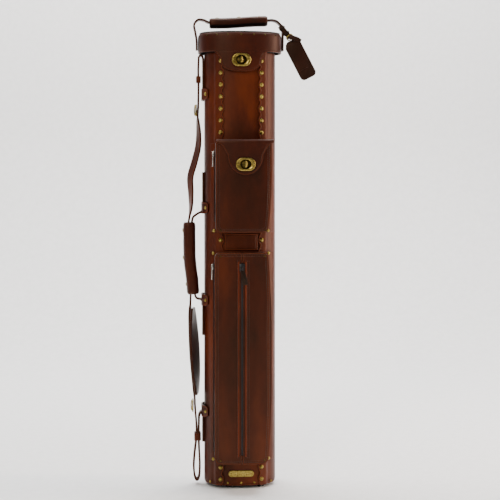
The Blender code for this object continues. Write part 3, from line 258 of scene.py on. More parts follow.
def sheet_of_leather(name, us, vs, outer, inner, edge=None):
    """A closed sheet between two surfaces over a grid of (u, v). Its "edge" attribute is 1 at a cut edge and
    fades to 0 inside, for the crease and its painted shade, the painted highlight beside it and the
    burnished rim."""
    wide, high = len(us), len(vs)
    grid = [(u, v) for u in us for v in vs]
    verts = [outer(u, v) for u, v in grid] + [inner(u, v) for u, v in grid]
    half = len(grid)
    faces = []
    for i in range(wide - 1):
        for j in range(high - 1):
            a, b = i * high + j, (i + 1) * high + j
            faces.append((a, b, b + 1, a + 1))
            faces.append((half + a, half + a + 1, half + b + 1, half + b))
    border = [i * high for i in range(wide)]
    border += [(wide - 1) * high + j for j in range(1, high)]
    border += [i * high + high - 1 for i in range(wide - 2, -1, -1)]
    border += [j for j in range(high - 2, 0, -1)]
    for a, b in zip(border, border[1:] + border[:1]):
        faces.append((b, a, half + a, half + b))
    values = [edge(u, v) if edge else 0.0 for u, v in grid]
    return solid(name, verts, faces, values + values)


def solid(name, verts, faces, edge_values=None):
    """An object from points and faces, smooth, with its normals outwards."""
    mesh = bpy.data.meshes.new(name)
    mesh.from_pydata(verts, [], faces)
    if edge_values:
        mesh.attributes.new("edge", "FLOAT", "POINT").data.foreach_set("value", edge_values)
    work = bmesh.new()
    work.from_mesh(mesh)
    bmesh.ops.remove_doubles(work, verts=work.verts, dist=2e-6)
    bmesh.ops.recalc_face_normals(work, faces=work.faces)
    if work.calc_volume(signed=True) < 0:
        bmesh.ops.reverse_faces(work, faces=work.faces)
    work.to_mesh(mesh)
    work.free()
    mesh.shade_smooth()
    made = bpy.data.objects.new(name, mesh)
    bpy.context.scene.collection.objects.link(made)
    return made


def settle(piece, material, body, *stands_for, bevel=0.0):
    """Finishes a piece: rounds its cut edges, gives it a material, and fixes it to a body."""
    if bevel:
        rounding = piece.modifiers.new("cut_edges", "BEVEL")
        rounding.width = bevel
        rounding.segments = 2
        rounding.limit_method = "ANGLE"
        rounding.angle_limit = math.radians(50)
    piece.data.materials.clear()
    piece.data.materials.append(material)
    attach(piece, body)
    if stands_for:
        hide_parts(*stands_for)
    return piece


def bridle_leather(name, dark, middle, light, roughness=0.40):
    """Vegetable-tanned bridle leather, oiled: clouds of 80 mm where the oil sits, dents of 25 mm, pale
    scuffs of 5 mm, a fine pebble, and a burnished edge with a creased line just inside it. The crease is
    darkened partly by painted shade, and the strip outside it carries a painted highlight."""
    made, tree, shader = start_material(name)
    place = add(tree, "ShaderNodeTexCoord").outputs["Object"]
    tall = add(tree, "ShaderNodeMapping", {"Vector": place, "Scale": (1.0, 1.0, 0.35)})
    cloud = add(tree, "ShaderNodeTexNoise",
                {"Vector": tall.outputs["Vector"], "Scale": 13.0, "Detail": 7.0, "Roughness": 0.58})
    tone = colours(add(tree, "ShaderNodeValToRGB", {"Fac": cloud.outputs["Fac"]}),
                   (0.32, linear(dark)), (0.50, linear(middle)), (0.74, linear(light)))
    fleck = add(tree, "ShaderNodeTexNoise",
                {"Vector": place, "Scale": 210.0, "Detail": 5.0, "Roughness": 0.7})
    scuff = colours(add(tree, "ShaderNodeValToRGB", {"Fac": fleck.outputs["Fac"]}),
                    (0.58, grey(0.0)), (0.80, grey(0.40)))
    scuffed = add(tree, "ShaderNodeMix", {0: scuff, 6: tone, 7: linear(light)}, data_type="RGBA")
    edge = add(tree, "ShaderNodeAttribute", attribute_name="edge").outputs["Fac"]
    # The creased line is coloured near black: partly the pressed leather's own darker line, partly painted
    # shade in its groove. The last stop darkens the burnished cut edge.
    crease = colours(add(tree, "ShaderNodeValToRGB", {"Fac": edge}), (0.28, grey(0.0)), (0.40, grey(1.0)),
                     (0.52, grey(0.0)), (0.90, grey(0.0)), (0.99, grey(0.7)))
    # Painted highlight: the strip just outside the crease is mixed towards the light colour.
    painted_ridge_highlight = colours(add(tree, "ShaderNodeValToRGB", {"Fac": edge}),
                    (0.50, grey(0.0)), (0.62, grey(0.85)), (0.90, grey(0.25)))
    with_ridge_highlight = add(tree, "ShaderNodeMix", {0: painted_ridge_highlight, 6: scuffed.outputs[2], 7: linear(light)},
                 data_type="RGBA")
    creased = add(tree, "ShaderNodeMix", {0: crease, 6: with_ridge_highlight.outputs[2], 7: linear("1a0b06")},
                  data_type="RGBA")
    tree.links.new(creased.outputs[2], shader.inputs["Base Color"])
    # The real pebble is about 0.5 mm, too fine to show, so it is drawn at 1.5 mm.
    pebble = add(tree, "ShaderNodeTexVoronoi", {"Vector": place, "Scale": 660.0}, feature="SMOOTH_F1")
    dents = add(tree, "ShaderNodeTexNoise", {"Vector": place, "Scale": 38.0, "Detail": 3.0})
    broad = add(tree, "ShaderNodeBump",
                {"Height": dents.outputs["Fac"], "Strength": 0.35, "Distance": 0.0016})
    grain = add(tree, "ShaderNodeBump", {"Height": pebble.outputs["Distance"], "Strength": 0.22,
                                         "Distance": 0.0004, "Normal": broad.outputs["Normal"]})
    pressed = add(tree, "ShaderNodeBump", {"Height": crease, "Strength": 0.6, "Distance": 0.0006,
                                           "Normal": grain.outputs["Normal"]}, invert=True)
    tree.links.new(pressed.outputs["Normal"], shader.inputs["Normal"])
    polish = add(tree, "ShaderNodeMapRange",
                 {"Value": cloud.outputs["Fac"], "From Min": 0.3, "From Max": 0.7,
                  "To Min": roughness + 0.10, "To Max": roughness - 0.06})
    tree.links.new(polish.outputs["Result"], shader.inputs["Roughness"])
    shader.inputs["IOR"].default_value = 1.40
    shader.inputs["Specular Tint"].default_value = linear("e8b89a")
    return made


CHESTNUT = bridle_leather("oiled_bridle_leather_chestnut", "230b05", "42170a", "642a12", 0.42)


def scallop(z):
    """How far the scalloped edge stands back from its crests at height z."""
    return SCALLOP_DEPTH * (1 - abs(math.cos(math.pi * (TOP_STUD_Z - z) / STUD_PITCH)))


HEM, HEM_DRAW = 0.0070, 0.0021        # the leather turns under over this height, and by this much


def hem(z):
    """How much the leather is drawn in where it turns under at the foot of the case."""
    over = max(0.0, wrap_low.z + HEM - z) / HEM
    return HEM_DRAW * (1 - math.sqrt(max(0.0, 1 - over * over)))


stud_arc = arc_at(STUD_X, LAP_OUT)
panel_arc = stud_arc + 0.0060
hem_rows = [wrap_low.z + HEM * t for t in (0.0, 0.03, 0.1, 0.22, 0.4, 0.65)]
settle(
    sheet_of_leather("front_leather", spaced(-panel_arc, panel_arc, 48),
                     hem_rows + spaced(wrap_low.z + HEM, wrap_high.z, 160),
                     lambda arc, z: on_body(arc, PANEL_OUT - hem(z), z),
                     lambda arc, z: on_body(arc, GAP, z),
                     lambda arc, z: max(0.0, 1 - (z - wrap_low.z) / EDGE_REACH)),
    CHESTNUT, "case", "front_panel", bevel=CUT_EDGE,
)


STEP_START, STEP_ARC = 0.0015, 0.0080  # past the panel's edge the sheet steps down over this arc


def wrap_arc(u, z):
    """Arc of the wrapped sheet: u from 0 at one scalloped edge to 1 at the other."""
    edge = stud_arc - CREST_MARGIN + scallop(z)
    return edge + (2 * HALF_GIRTH - 2 * edge) * u


def wrap_offset(u, z):
    """The sheet lies on the front panel at its edges, and on the shell everywhere else."""
    arc = wrap_arc(u, z)
    down = smooth_step((min(arc, 2 * HALF_GIRTH - arc) - panel_arc - STEP_START) / STEP_ARC)
    return (PANEL_OUT + GAP) * (1 - down) + GAP * down


def wrap_edge(u, z):
    arc = min(u, 1 - u) * (2 * HALF_GIRTH - 2 * (stud_arc - CREST_MARGIN + scallop(z)))
    return max(0.0, 1 - min(arc, z - wrap_low.z) / EDGE_REACH)


near = [k * 0.0011 / (2 * HALF_GIRTH) for k in range(24)]
across = near + spaced(near[-1] + 0.008, 1 - near[-1] - 0.008, 70) + [1 - u for u in reversed(near)]
settle(
    sheet_of_leather("wrapped_leather", across, hem_rows + spaced(wrap_low.z + HEM, wrap_high.z, 218),
                     lambda u, z: on_body(wrap_arc(u, z), wrap_offset(u, z) + LEATHER - hem(z), z),
                     lambda u, z: on_body(wrap_arc(u, z), wrap_offset(u, z), z), wrap_edge),
    CHESTNUT, "case", "body_wrap", bevel=CUT_EDGE,
)


# ---- Domed studs --------------------------------------------------------------------------------
# Cast brass studs with a low dome and a thin flange, driven through both hides along each lap.
# Antique brass is brown-gold: bright on the rubbed crown, dark where the patina was left.

def antique_brass():
    """Cast brass, aged: gold where it is rubbed, brown in patches of patina of about 2 mm."""
    made, tree, shader = start_material("antique_brass_cast")
    place = add(tree, "ShaderNodeTexCoord").outputs["Object"]
    patina = add(tree, "ShaderNodeTexNoise",
                 {"Vector": place, "Scale": 420.0, "Detail": 4.0, "Roughness": 0.5})
    tone = colours(add(tree, "ShaderNodeValToRGB", {"Fac": patina.outputs["Fac"]}),
                   (0.28, linear("5a4b22")), (0.50, linear("94803f")), (0.76, linear("b8a360")))
    tree.links.new(tone, shader.inputs["Base Color"])
    dull = add(tree, "ShaderNodeMapRange", {"Value": patina.outputs["Fac"], "From Min": 0.3,
                                            "From Max": 0.7, "To Min": 0.40, "To Max": 0.27})
    tree.links.new(dull.outputs["Result"], shader.inputs["Roughness"])
    bump = add(tree, "ShaderNodeBump",
               {"Height": patina.outputs["Fac"], "Strength": 0.12, "Distance": 0.0003})
    tree.links.new(bump.outputs["Normal"], shader.inputs["Normal"])
    shader.inputs["Metallic"].default_value = 1.0
    return made


BRASS = antique_brass()


def blackened_brass():
    """The same brass where nothing rubs it: dark brown and duller, with little gold left."""
    made, tree, shader = start_material("brass_blackened_in_the_recess")
    place = add(tree, "ShaderNodeTexCoord").outputs["Object"]
    patina = add(tree, "ShaderNodeTexNoise", {"Vector": place, "Scale": 260.0, "Detail": 4.0})
    tone = colours(add(tree, "ShaderNodeValToRGB", {"Fac": patina.outputs["Fac"]}),
                   (0.35, linear("2b2512")), (0.70, linear("6a5a2c")))
    tree.links.new(tone, shader.inputs["Base Color"])
    shader.inputs["Metallic"].default_value = 1.0
    shader.inputs["Roughness"].default_value = 0.46
    return made


OLD_BRASS = blackened_brass()


def named_inputs(tree, **kinds):
    """Adds the tree's geometry sockets and its named inputs."""
    tree.interface.new_socket("Geometry", in_out="INPUT", socket_type="NodeSocketGeometry")
    for name, kind in kinds.items():
        tree.interface.new_socket(name, in_out="INPUT", socket_type="NodeSocket" + kind)
    tree.interface.new_socket("Geometry", in_out="OUTPUT", socket_type="NodeSocketGeometry")
    return tree.nodes.new("NodeGroupInput").outputs


def grown(name, source, tree, **values):
    """The plain mesh that a node tree grows on a source mesh, as a new object."""
    carrier = bpy.data.objects.new(name + "_carrier", source)
    bpy.context.scene.collection.objects.link(carrier)
    modifier = carrier.modifiers.new("grow", "NODES")
    modifier.node_group = tree
    for socket in tree.interface.items_tree:
        if socket.item_type == "SOCKET" and socket.in_out == "INPUT" and socket.name in values:
            modifier[socket.identifier] = values[socket.name]
    ready = carrier.evaluated_get(bpy.context.evaluated_depsgraph_get())
    mesh = bpy.data.meshes.new_from_object(ready)
    mesh.name = name
    bpy.data.objects.remove(carrier)
    made = bpy.data.objects.new(name, mesh)
    bpy.context.scene.collection.objects.link(made)
    return made


def stud_tree():
    """A domed, flanged head on every point, standing along the point's "facing"."""
    tree = bpy.data.node_groups.new("domed_heads", "GeometryNodeTree")
    given = named_inputs(tree, Radius="Float", Height="Float", Finish="Material")
    crown = add(tree, "ShaderNodeMath", {0: given["Radius"], 1: 0.86}, operation="MULTIPLY")
    stretch = add(tree, "ShaderNodeCombineXYZ",
                  {"X": crown.outputs[0], "Y": crown.outputs[0], "Z": given["Height"]})
    ball = add(tree, "GeometryNodeMeshUVSphere", {"Segments": 16, "Rings": 8, "Radius": 1.0})
    dome = add(tree, "GeometryNodeTransform",
               {"Geometry": ball.outputs["Mesh"], "Scale": stretch.outputs[0]})
    flange = add(tree, "GeometryNodeMeshCylinder",
                 {"Vertices": 20, "Radius": given["Radius"], "Depth": 0.0010})
    head = add(tree, "GeometryNodeJoinGeometry")
    tree.links.new(dome.outputs["Geometry"], head.inputs[0])
    tree.links.new(flange.outputs["Mesh"], head.inputs[0])
    facing = add(tree, "GeometryNodeInputNamedAttribute", {"Name": "facing"}, data_type="FLOAT_VECTOR")
    turn = add(tree, "FunctionNodeAlignRotationToVector",
               {"Vector": facing.outputs["Attribute"]}, axis="Z")
    set_out = add(tree, "GeometryNodeInstanceOnPoints",
                  {"Points": given["Geometry"], "Instance": head.outputs[0], "Rotation": turn.outputs[0]})
    real = add(tree, "GeometryNodeRealizeInstances", {"Geometry": set_out.outputs[0]})
    smooth = add(tree, "GeometryNodeSetShadeSmooth", {"Geometry": real.outputs[0]})
    coated = add(tree, "GeometryNodeSetMaterial",
                 {"Geometry": smooth.outputs[0], "Material": given["Finish"]})
    add(tree, "NodeGroupOutput", {0: coated.outputs[0]})
    return tree


STUDS = stud_tree()


def studs(name, places, radius, height, body, finish=None):
    """Domed heads at (point, facing) places, fixed to a body."""
    mesh = bpy.data.meshes.new(name + "_points")
    mesh.from_pydata([p for p, _ in places], [], [])
    facing = mesh.attributes.new("facing", "FLOAT_VECTOR", "POINT")
    facing.data.foreach_set("vector", [c for _, way in places for c in way])
    made = grown(name, mesh, STUDS, Radius=radius, Height=height, Finish=finish or BRASS)
    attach(made, body)
    return made


def off_body(arc, offset, z):
    """A place on the case's surface, and the way it faces."""
    here = on_body(arc, offset, z)
    return here, (on_body(arc, offset + 0.01, z) - here).normalized()


STUD_RADIUS, STUD_HEIGHT = 0.0040, 0.0026
STUDS_SEEN = (0, 1, 2, 3, 4, 5, 6, 15, 34, 35)      # the others are behind the pockets
lap_studs = [off_body(side * stud_arc, LAP_OUT, TOP_STUD_Z - STUD_PITCH * i)
             for i in STUDS_SEEN for side in (-1, 1)]
studs("lap_studs", lap_studs, STUD_RADIUS, STUD_HEIGHT, "case")
TACK_RADIUS, TACK_HEIGHT, TACK_Z = 0.0021, 0.0012, 0.0115
foot_tacks = [off_body(arc_at(x, PANEL_OUT), LAP_OUT if abs(x) > STUD_X else PANEL_OUT, TACK_Z)
              for x in (-0.0560, -0.0250, 0.0, 0.0250, 0.0560)]
studs("foot_tacks", foot_tacks, TACK_RADIUS, TACK_HEIGHT, "case")


# ---- Name plate ---------------------------------------------------------------------------------
# A blank stamped brass plate with rounded ends across the foot of the front panel, held by a rivet
# at each end.

def oblong(half_length, half_height, centre, count=32):
    """(x, z) points of a shape with round ends, about a world centre."""
    reach = half_length - half_height
    points = []
    for k in range(count):
        angle = math.tau * (k + 0.5) / count
        x = half_height * math.cos(angle) + math.copysign(reach, math.cos(angle))
        points.append((centre.x + x, centre.z + half_height * math.sin(angle)))
    return points


def lofted(name, rings, looped=False, edge_values=None):
    """A closed solid through rings of equal length; looped joins the last to the first."""
    count = len(rings[0])
    verts = [p for ring in rings for p in ring]
    faces = []
    for i in range(len(rings) if looped else len(rings) - 1):
        low, high = i * count, (i + 1) % len(rings) * count
        faces += [(low + k, low + (k + 1) % count, high + (k + 1) % count, high + k)
                  for k in range(count)]
    if not looped:
        faces += [tuple(range(count)), tuple(range(len(verts) - count, len(verts)))]
    return solid(name, verts, faces, edge_values)


def stamped_plate(name, low, high, rim, body, *stands_for):
    """A plate with round ends between two corners, its front edge rolled over by rim."""
    centre = (low + high) / 2
    half_length, half_height = (high.x - low.x) / 2, (high.z - low.z) / 2
    rings = [[Vector((x, high.y, z)) for x, z in oblong(half_length, half_height, centre)]]
    for k in range(5):
        turn = math.pi / 2 * k / 4
        inset = rim * (1 - math.cos(turn))
        y = low.y + rim * (1 - math.sin(turn)) * 0.8
        rings.append([Vector((x, y, z))
                      for x, z in oblong(half_length - inset, half_height - inset, centre)])
    return settle(lofted(name, rings), BRASS, body, *stands_for)


plate_low, plate_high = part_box("name_plate")
stamped_plate("blank_plate", plate_low, plate_high, 0.0010, "case", "name_plate")
plate_z = (plate_low.z + plate_high.z) / 2
SMALL_RIVET = 0.0016          # the radius of the smallest rivets, tacks and pins
FORWARDS = Vector((0, -1, 0))
studs("plate_rivets", [(Vector((x, plate_low.y, plate_z)), FORWARDS)
                       for x in (plate_low.x + 0.0050, plate_high.x - 0.0050)], SMALL_RIVET, 0.0011, "case")


# ---- Lid ----------------------------------------------------------------------------------------
# A board cap covered in one darker hide, blocked wet so its shoulder is round and its top slightly
# domed. A creased line runs round its lower edge and on into the tongue cut from the same hide.

LID_HALF_WIDTH, LID_HALF_DEPTH = 0.0800, 0.0545
SHOULDER, CROWN_RISE = 0.0100, 0.0020
TONGUE_TOP_HALF, TONGUE_HALF, TONGUE_POWER = 0.0500, 0.0385, 2.6
MAHOGANY = bridle_leather("oiled_bridle_leather_mahogany", "1b0805", "321009", "50200f", 0.42)
lid_low, lid_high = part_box("lid_cover")
tongue_low, tongue_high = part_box("lid_tongue")


def at(x, y, z):
    """A world point from one in the case's own frame."""
    return AXIS + Vector((x, y, z))


def ogee_depth(x, top_half, half, drop, power):
    """How far below its top edge a flap ends at x: round at the tip, with hollow shoulders."""
    x, knee, hollow = abs(x), 0.40 * drop, 1.8
    if x >= half:
        return knee * max(0.0, 1 - (x - half) / (top_half - half)) ** hollow
    return knee + (drop - knee) * (1 - (x / half) ** power) ** (1 / power)


def ogee_columns(top_half, half):
    """The x of each column of a flap, closer together where its edge is steep."""
    right = [half * math.sin(math.pi / 2 * k / 26) for k in range(27)]
    right += [half + (top_half - half) * k / 10 for k in range(1, 11)]
    return [-x for x in reversed(right[1:])] + right


def nearness(outline):
    """A function of (x, z) that is 1 on an outline and 0 from EDGE_REACH away."""
    line = np.array(outline)
    start, step = line[:-1], np.diff(line, axis=0)
    size = np.maximum((step ** 2).sum(axis=1), 1e-12)

    def value(x, z):
        along = np.clip((((x, z) - start) * step).sum(axis=1) / size, 0, 1)
        away = np.hypot(*(start + step * along[:, None] - (x, z)).T).min()
        return max(0.0, 1 - away / EDGE_REACH)

    return value


tongue_drop = tongue_high.z - tongue_low.z


def tongue_foot(x):
    return tongue_high.z - 0.0008 - (1 - 0.0008 / tongue_drop) * ogee_depth(
        x, TONGUE_TOP_HALF, TONGUE_HALF, tongue_drop, TONGUE_POWER)


tongue_columns = ogee_columns(TONGUE_TOP_HALF, TONGUE_HALF)
BESIDE_LID = 0.1              # an x well outside the lid
lid_left, lid_right = (-BESIDE_LID, lid_low.z), (BESIDE_LID, lid_low.z)
lid_nearness = nearness([lid_left, *[(x, tongue_foot(x)) for x in tongue_columns], lid_right])
plain_nearness = nearness([lid_left, lid_right])


def lid_point(angle, inset, z):
    """A point of the lid's oval, inset metres inside its leather."""
    return at(*oval(LID_HALF_WIDTH - inset, LID_HALF_DEPTH - inset, angle), z)


lid_rim = lid_high.z - CROWN_RISE
profile = [(0.0, lid_low.z + 0.0008 * k) for k in range(9)]
profile += [(0.0, z) for z in spaced(profile[-1][1], lid_rim - SHOULDER, 5)[1:]]
for k in range(1, 10):
    turn = math.pi / 2 * k / 9
    profile.append((SHOULDER * (1 - math.cos(turn)), lid_rim - SHOULDER * (1 - math.sin(turn))))
for inset in spaced(SHOULDER, LID_HALF_DEPTH - 0.0010, 9)[1:]:
    fall = (1 - (inset - SHOULDER) / (LID_HALF_DEPTH - SHOULDER)) ** 2
    profile.append((inset, lid_high.z - CROWN_RISE * fall))
LID_COUNT = 240
inside = [(inset + LEATHER, min(z, lid_rim - LEATHER) if inset else z) for inset, z in profile[:-1]]
rings = [[lid_point(math.tau * k / LID_COUNT, inset, z) for k in range(LID_COUNT)]
         for inset, z in inside[::-1] + profile]
lid_edges = []
for (inset, z), board_side in [(p, True) for p in inside[::-1]] + [(p, False) for p in profile]:
    for k in range(LID_COUNT):
        place = lid_point(math.tau * k / LID_COUNT, inset, z) - AXIS
        near_edge = lid_nearness if place.y < 0 else plain_nearness
        lid_edges.append(0.0 if board_side or inset else near_edge(place.x, z))
settle(lofted("lid_leather", rings, edge_values=lid_edges), MAHOGANY, "lid", "lid_cover", bevel=CUT_EDGE)


def lid_front(x, inset):
    """The y of the lid's front at x, in the case's frame."""
    across = (abs(x) / (LID_HALF_WIDTH - inset)) ** OVAL_POWER
    return -(LID_HALF_DEPTH - inset) * (1 - across) ** (1 / OVAL_POWER)


def off_lid(x, z):
    """A place on the lid's front at x, and the way it faces."""
    y = lid_front(x, 0.0)
    slope = (abs(x) / LID_HALF_WIDTH) ** (OVAL_POWER - 1) / LID_HALF_WIDTH
    slope_y = (abs(y) / LID_HALF_DEPTH) ** (OVAL_POWER - 1) / LID_HALF_DEPTH
    return at(x, y, z), Vector((math.copysign(slope, x), -slope_y, 0)).normalized()


LID_TACK_Z = 0.8545
lid_tacks = [off_lid(x, LID_TACK_Z) for x in (-0.0640, -0.0460, -0.0260, 0.0, 0.0240, 0.0450, 0.0660)]
studs("lid_tacks", lid_tacks, SMALL_RIVET, 0.0010, "lid", OLD_BRASS)


# ---- Lid tongue ---------------------------------------------------------------------------------
# The front of the lid's hide runs on below the cap as a rounded tongue that bends up on its own. It
# is cut out round the turn lock's post, and carries the lock's brass plate.

def cut_by(piece, cutter):
    """Cuts the cutter out of the piece and removes the cutter."""
    modifier = piece.modifiers.new("cut", "BOOLEAN")
    modifier.operation = "DIFFERENCE"
    modifier.solver = "EXACT"
    modifier.object = cutter
    ready = piece.evaluated_get(bpy.context.evaluated_depsgraph_get())
    mesh = bpy.data.meshes.new_from_object(ready)
    piece.modifiers.clear()
    piece.data = mesh
    mesh.shade_smooth()
    bpy.data.objects.remove(cutter)
    return piece


def oblong_bar(name, half_length, half_height, centre, y0, y1):
    """A bar with round ends, lying from y0 to y1, to cut a slot with."""
    rings = [[Vector((x, y, z)) for x, z in oblong(half_length, half_height, centre)] for y in (y0, y1)]
    return lofted(name, rings)


SLOT_HALF_LENGTH, SLOT_HALF_HEIGHT = 0.0100, 0.0086
tongue_top = lid_low.z - 0.00005
plate_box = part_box("lid_lock_plate")
lock_centre = (plate_box[0] + plate_box[1]) / 2
tongue_rows = [1 - (1 - k / 26) ** 1.5 for k in range(27)][::-1]
tongue = sheet_of_leather(
    "tongue_leather", tongue_columns, [1 - t for t in tongue_rows],
    lambda x, v: at(x, lid_front(x, 0.0), tongue_foot(x) + (tongue_top - tongue_foot(x)) * v),
    lambda x, v: at(x, lid_front(x, LEATHER), tongue_foot(x) + (tongue_top - tongue_foot(x)) * v),
    lambda x, v: lid_nearness(x, tongue_foot(x) + (tongue_top - tongue_foot(x)) * v),
)
tongue = cut_by(tongue, oblong_bar("tongue_cut", SLOT_HALF_LENGTH, SLOT_HALF_HEIGHT, lock_centre,
                                   tongue_low.y - 0.01, tongue_high.y + 0.01))
rounding = tongue.modifiers.new("cut_edges", "BEVEL")
rounding.width = CUT_EDGE
rounding.segments = 2
rounding.limit_method = "ANGLE"
rounding.angle_limit = math.radians(60)
tongue.data.materials.clear()
tongue.data.materials.append(MAHOGANY)
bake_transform(tongue)
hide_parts("lid_tongue")


# ---- Turn locks ---------------------------------------------------------------------------------
# Two antique-brass turn locks: an oval eyelet plate pressed on the flap, a base plate riveted to
# the case behind it, and a turning bar on a post that locks across the eyelet.

def eyelet_plate(name, box, hole_length, hole_height, body, node):
    """The pressed oval plate: convex outside, and rolled in round its slot."""
    low, high = box
    centre = (low + high) / 2
    half_length, half_height = (high.x - low.x) / 2, (high.z - low.z) / 2
    shapes = [(0.0, high.y), (0.0, low.y + 0.0013), (0.0004, low.y + 0.0007), (0.0013, low.y + 0.0002),
              (0.0024, low.y), (0.0034, low.y + 0.0001)]
    rings = [[Vector((x, y, z)) for x, z in oblong(half_length - inset, half_height - inset, centre, 56)]
             for inset, y in shapes]
    for grow, y in ((0.0004, low.y + 0.0004), (0.0, low.y + 0.0010), (0.0, high.y)):
        rings.append([Vector((x, y, z))
                      for x, z in oblong(hole_length + grow, hole_height + grow, centre, 56)])
    return settle(lofted(name, rings, looped=True), BRASS, body, node)


def turning_bar(name, box, body, node):
    """The bar: an oval that narrows to a ridge down its middle, on a round post."""
    low, high = box
    centre = (low + high) / 2
    half_width, half_length = (high.x - low.x) / 2, (high.z - low.z) / 2
    post_front = low.y + 0.0058
    post = half_width * 0.62
    sections = [(high.y, post, post), (post_front, post, post)]
    for y, wide, long in ((post_front, 0.80, 0.90), (low.y + 0.0048, 1.0, 1.0),
                          (low.y + 0.0030, 0.96, 0.99), (low.y + 0.0014, 0.76, 0.94),
                          (low.y + 0.0004, 0.50, 0.86), (low.y, 0.24, 0.74)):
        sections.append((y, half_width * wide, half_length * long))
    turns = [math.tau * k / 32 for k in range(32)]
    rings = [[Vector((centre.x + x * math.cos(a), y, centre.z + z * math.sin(a))) for a in turns]
             for y, x, z in sections]
    return settle(lofted(name, rings), BRASS, body, node)


def lock_base(name, box, body, node):
    """The base plate behind the eyelet, its front edge chamfered."""
    low, high = box
    centre = (low + high) / 2
    half_length, half_height = (high.x - low.x) / 2, (high.z - low.z) / 2
    rings = [[Vector((x, y, z)) for x, z in oblong(half_length - inset, half_height - inset, centre, 48)]
             for inset, y in ((0.0, high.y), (0.0, low.y + 0.0006), (0.0005, low.y))]
    return settle(lofted(name, rings), OLD_BRASS, body, node)


PLATE_RIVET_X = 0.0146
for prefix, flap_body, knob_body in (("lid_lock", "lid_tongue", "lid_knob"),
                                     ("pocket_lock", "pocket_flap", "pocket_knob")):
    low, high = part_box(prefix + "_plate")
    eyelet_plate(prefix + "_eyelet", (low, high), SLOT_HALF_LENGTH, SLOT_HALF_HEIGHT,
                 flap_body, prefix + "_plate")
    lock_base(prefix + "_foot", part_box(prefix + "_base"), "case", prefix + "_base")
    turning_bar(prefix + "_bar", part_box(prefix + "_knob"), knob_body, prefix + "_knob")
    centre = (low + high) / 2
    rivets = [(Vector((centre.x + x, low.y + 0.0001, centre.z)), FORWARDS)
              for x in (-PLATE_RIVET_X, PLATE_RIVET_X)]
    studs(prefix + "_rivets", rivets, SMALL_RIVET, 0.0009, flap_body)


# ---- Hinge strip --------------------------------------------------------------------------------
# One strip of body leather sewn to the back of the case. It runs up inside the lid, where it is
# glued, and bends there as the lid opens.

hinge_low, hinge_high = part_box("lid_hinge")
hinge_half = (hinge_high.x - hinge_low.x) / 2
hinge_out = hinge_high.y - AXIS.y - HALF_DEPTH
HINGE_REACH = 0.0100          # how far the strip runs up inside the lid
HINGE_STEP, HINGE_STEP_HEIGHT = 0.0024, 0.0022      # how far it steps in there, and over what height


def hinge_offset(z):
    """Off the shell: outside the body leather, then stepping in under the lid."""
    return hinge_out - LEATHER - HINGE_STEP * smooth_step((z - hinge_high.z) / HINGE_STEP_HEIGHT)


hinge_rows = spaced(hinge_low.z, hinge_high.z, 40)
hinge_rows += spaced(hinge_high.z, hinge_high.z + HINGE_REACH, 14)[1:]
strip = sheet_of_leather(
    "hinge_strip", spaced(HALF_GIRTH - hinge_half, HALF_GIRTH + hinge_half, 40), hinge_rows,
    lambda arc, z: on_body(arc, hinge_offset(z) + LEATHER, z),
    lambda arc, z: on_body(arc, hinge_offset(z), z),
    lambda arc, z: max(0.0, 1 - min(hinge_half - abs(arc - HALF_GIRTH), z - hinge_low.z) / EDGE_REACH),
)
strip.data.materials.append(CHESTNUT)
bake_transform(strip)
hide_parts("lid_hinge")


# ---- Stitching ----------------------------------------------------------------------------------
# Waxed linen thread, saddle-stitched by hand at about six stitches to the inch. It is dark brown, and
# it shows as a row of short beads along every seam.

def waxed_thread():
    """Waxed linen: dark brown and satin, its tone changing every 1 mm with the twist."""
    made, tree, shader = start_material("waxed_linen_thread")
    place = add(tree, "ShaderNodeTexCoord").outputs["Object"]
    ply = add(tree, "ShaderNodeTexNoise", {"Vector": place, "Scale": 900.0, "Detail": 2.0})
    tone = colours(add(tree, "ShaderNodeValToRGB", {"Fac": ply.outputs["Fac"]}),
                   (0.35, linear("1d120d")), (0.70, linear("4b3224")))
    tree.links.new(tone, shader.inputs["Base Color"])
    shader.inputs["Roughness"].default_value = 0.6
    return made


THREAD = waxed_thread()


def stitch_tree():
    """Short threads laid end to end, with gaps, along every line."""
    tree = bpy.data.node_groups.new("saddle_stitches", "GeometryNodeTree")
    given = named_inputs(tree, Pitch="Float", Finish="Material")
    curve = add(tree, "GeometryNodeMeshToCurve", {"Mesh": given["Geometry"]})
    points = add(tree, "GeometryNodeCurveToPoints",
                 {"Curve": curve.outputs[0], "Length": given["Pitch"]}, mode="LENGTH")
    turned = add(tree, "FunctionNodeAlignRotationToVector",
                 {"Vector": points.outputs["Tangent"]}, axis="X")
    bead = add(tree, "GeometryNodeMeshUVSphere", {"Segments": 6, "Rings": 4, "Radius": 1.0})
    shape = add(tree, "ShaderNodeCombineXYZ", {"Y": 0.00042, "Z": 0.00042})
    reach = add(tree, "ShaderNodeMath", {0: given["Pitch"], 1: 0.38}, operation="MULTIPLY")
    tree.links.new(reach.outputs[0], shape.inputs["X"])
    thread = add(tree, "GeometryNodeTransform",
                 {"Geometry": bead.outputs["Mesh"], "Scale": shape.outputs[0]})
    laid = add(tree, "GeometryNodeInstanceOnPoints",
               {"Points": points.outputs["Points"], "Instance": thread.outputs[0],
                "Rotation": turned.outputs[0]})
    real = add(tree, "GeometryNodeRealizeInstances", {"Geometry": laid.outputs[0]})
    smooth = add(tree, "GeometryNodeSetShadeSmooth", {"Geometry": real.outputs[0]})
    coated = add(tree, "GeometryNodeSetMaterial",
                 {"Geometry": smooth.outputs[0], "Material": given["Finish"]})
    add(tree, "NodeGroupOutput", {0: coated.outputs[0]})
    return tree


STITCHES = stitch_tree()


def stitched(name, lines, body, pitch=0.0044):
    """Rows of stitches along lines of world points, fixed to a body."""
    verts, edges = [], []
    for line in lines:
        edges += [(len(verts) + k, len(verts) + k + 1) for k in range(len(line) - 1)]
        verts += line
    mesh = bpy.data.meshes.new(name + "_lines")
    mesh.from_pydata(verts, edges, [])
    made = grown(name, mesh, STITCHES, Pitch=pitch, Finish=THREAD)
    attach(made, body)
    return made


